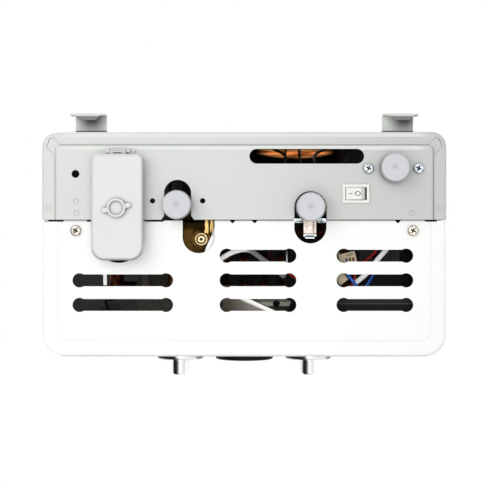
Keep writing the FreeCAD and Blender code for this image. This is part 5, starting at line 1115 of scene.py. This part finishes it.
class HEATER_OT_stage(bpy.types.Operator):
    """Add the floor, the soft lights, the pale world and the camera."""

    bl_idname = "heater.stage"
    bl_label = "Stage"

    def execute(self, context):
        self.add_floor()
        self.add_world(context.scene)
        self.add_cards()
        self.add_lamps()
        self.add_camera(context.scene)
        context.scene.view_settings.view_transform = "Standard"
        return {"FINISHED"}

    def add_floor(self):
        """A floor that shows from above and lets everything through from below."""
        bpy.ops.mesh.primitive_plane_add(size=2.4, location=(0.0, MIDDLE_Y, CAD_BOX[0].z - 0.001))
        floor = bpy.context.object
        bpy.ops.object.transform_apply(location=True, rotation=False, scale=False)
        floor.name = "floor"
        finish = Finish("floor")
        finish.wear(Base_Color=(0.92, 0.92, 0.92), Roughness=0.7)
        clear = finish.node("ShaderNodeBsdfTransparent")
        below = finish.node("ShaderNodeNewGeometry", output="Backfacing")
        out = (finish.x ** 2.0 + (finish.y - MIDDLE_Y) ** 2.0) ** 0.5
        fade_from, fade_to = 0.45, 1.0
        below = below.most(out.rise(fade_from, fade_to))
        paint = Field(finish, finish.shader.outputs[0])
        mixed = finish.node("ShaderNodeMixShader", {}, {0: below, 1: paint, 2: clear})
        finish.feed(finish.tree.nodes["Material Output"].inputs["Surface"], mixed)
        floor.data.materials.append(finish.material)
        unseen_by(floor, "shadow", "diffuse", "glossy", "transmission")

    def add_world(self, scene):
        """White to the camera, in reflections and through glass, softer as a light."""
        world = bpy.data.worlds.new("studio")
        scene.world = world
        world.use_nodes = True
        nodes, links = world.node_tree.nodes, world.node_tree.links
        path = nodes.new("ShaderNodeLightPath")
        strength = nodes.new("ShaderNodeMapRange")
        strength.inputs["To Min"].default_value = 1.0
        strength.inputs["To Max"].default_value = WORLD_LIGHT
        links.new(path.outputs["Is Diffuse Ray"], strength.inputs["Value"])
        background = nodes["Background"]
        background.inputs["Color"].default_value = (1.0, 1.0, 1.0, 1.0)
        links.new(strength.outputs[0], background.inputs["Strength"])

    def add_cards(self):
        """Dark cards below, beside and in front of the heater, seen only in its polished metal."""
        finish = Finish("dark_card")
        finish.wear(Base_Color=(0.01, 0.01, 0.012), Roughness=1.0, Specular_IOR_Level=0.0)
        upright = math.radians(90.0)
        places = {"low_card": ((2.3, MIDDLE_Y - 0.6, UNDERSIDE_Z - 1.7), (0.0, 0.0, 0.0), 4.0),
                  "side_card": ((2.2, MIDDLE_Y - 0.4, UNDERSIDE_Z - 0.1), (0.0, upright, 0.0), 3.2),
                  "front_card": ((1.95, -2.0, UNDERSIDE_Z - 0.1), (upright, 0.0, 0.0), 3.2)}
        for name, (spot, turn, size) in places.items():
            bpy.ops.mesh.primitive_plane_add(size=size, location=spot, rotation=turn)
            card = bpy.context.object
            card.name = name
            card.data.materials.append(finish.material)
            unseen_by(card, "camera", "diffuse", "transmission", "shadow")

    def add_lamps(self):
        """Two lamps under the heater and three round it, above."""
        underside = (0.0, MIDDLE_Y, UNDERSIDE_Z)
        add_lamp("key_below", (0.75, MIDDLE_Y + 0.5, UNDERSIDE_Z - 1.1), underside, size=1.0, power=4.2)
        add_lamp("fill_below", (0.2, MIDDLE_Y, UNDERSIDE_Z - 1.5), underside, size=1.6, power=9.6)
        centre = (0.0, MIDDLE_Y, UNDERSIDE_Z / 2)
        add_lamp("front_high", (0.9, -1.5, 0.6), centre, size=1.0, power=12.5)
        add_lamp("back_high", (0.6, 1.3, 0.5), centre, size=1.0, power=16.0)
        add_lamp("side_high", (-1.5, 0.1, 0.5), centre, size=1.0, power=11.0)

    def add_camera(self, scene):
        """A camera that looks straight up at the underside, with the wall at the top of its view."""
        bpy.ops.object.camera_add(location=(CAMERA_X, CAMERA_Y, UNDERSIDE_Z - CAMERA_DISTANCE),
                                  rotation=(0.0, math.pi, 0.0))
        camera = bpy.context.object
        camera.data.sensor_width = SENSOR_WIDTH
        camera.data.lens = SENSOR_WIDTH * CAMERA_DISTANCE / VIEW_WIDTH
        scene.camera = camera


# ------------------------------------------------------------------ panel and registration
class HEATER_PT_sidebar(bpy.types.Panel):
    """Shows the heater's colours and the buttons of its steps in the sidebar."""

    bl_label = "Propane water heater"
    bl_idname = "HEATER_PT_sidebar"
    bl_space_type = "VIEW_3D"
    bl_region_type = "UI"
    bl_category = "Heater"

    def draw(self, context):
        colours = context.scene.heater_colours
        for name in ("pan", "cover", "caps", "lid"):
            self.layout.prop(colours, name)
        for step in STEPS:
            self.layout.operator(step.bl_idname)


STEPS = (HEATER_OT_casing, HEATER_OT_controls, HEATER_OT_water_and_gas, HEATER_OT_burner, HEATER_OT_electrics,
         HEATER_OT_wire_ends, HEATER_OT_marks, HEATER_OT_stage)
CLASSES = (HeaterColours, *STEPS, HEATER_PT_sidebar)


def register():
    for cls in CLASSES:
        bpy.utils.register_class(cls)
    bpy.types.Scene.heater_colours = bpy.props.PointerProperty(type=HeaterColours)


def unregister():
    del bpy.types.Scene.heater_colours
    for cls in reversed(CLASSES):
        bpy.utils.unregister_class(cls)


def main():
    """Builds the scene."""
    register()
    bpy.ops.object.select_all(action="DESELECT")
    bpy.ops.heater.casing()
    bpy.ops.heater.controls()
    bpy.ops.heater.water_and_gas()
    bpy.ops.heater.burner()
    bpy.ops.heater.electrics()
    bpy.ops.heater.wire_ends()
    bpy.ops.heater.marks()
    bpy.ops.heater.stage()


if __name__ == "__main__":
    main()
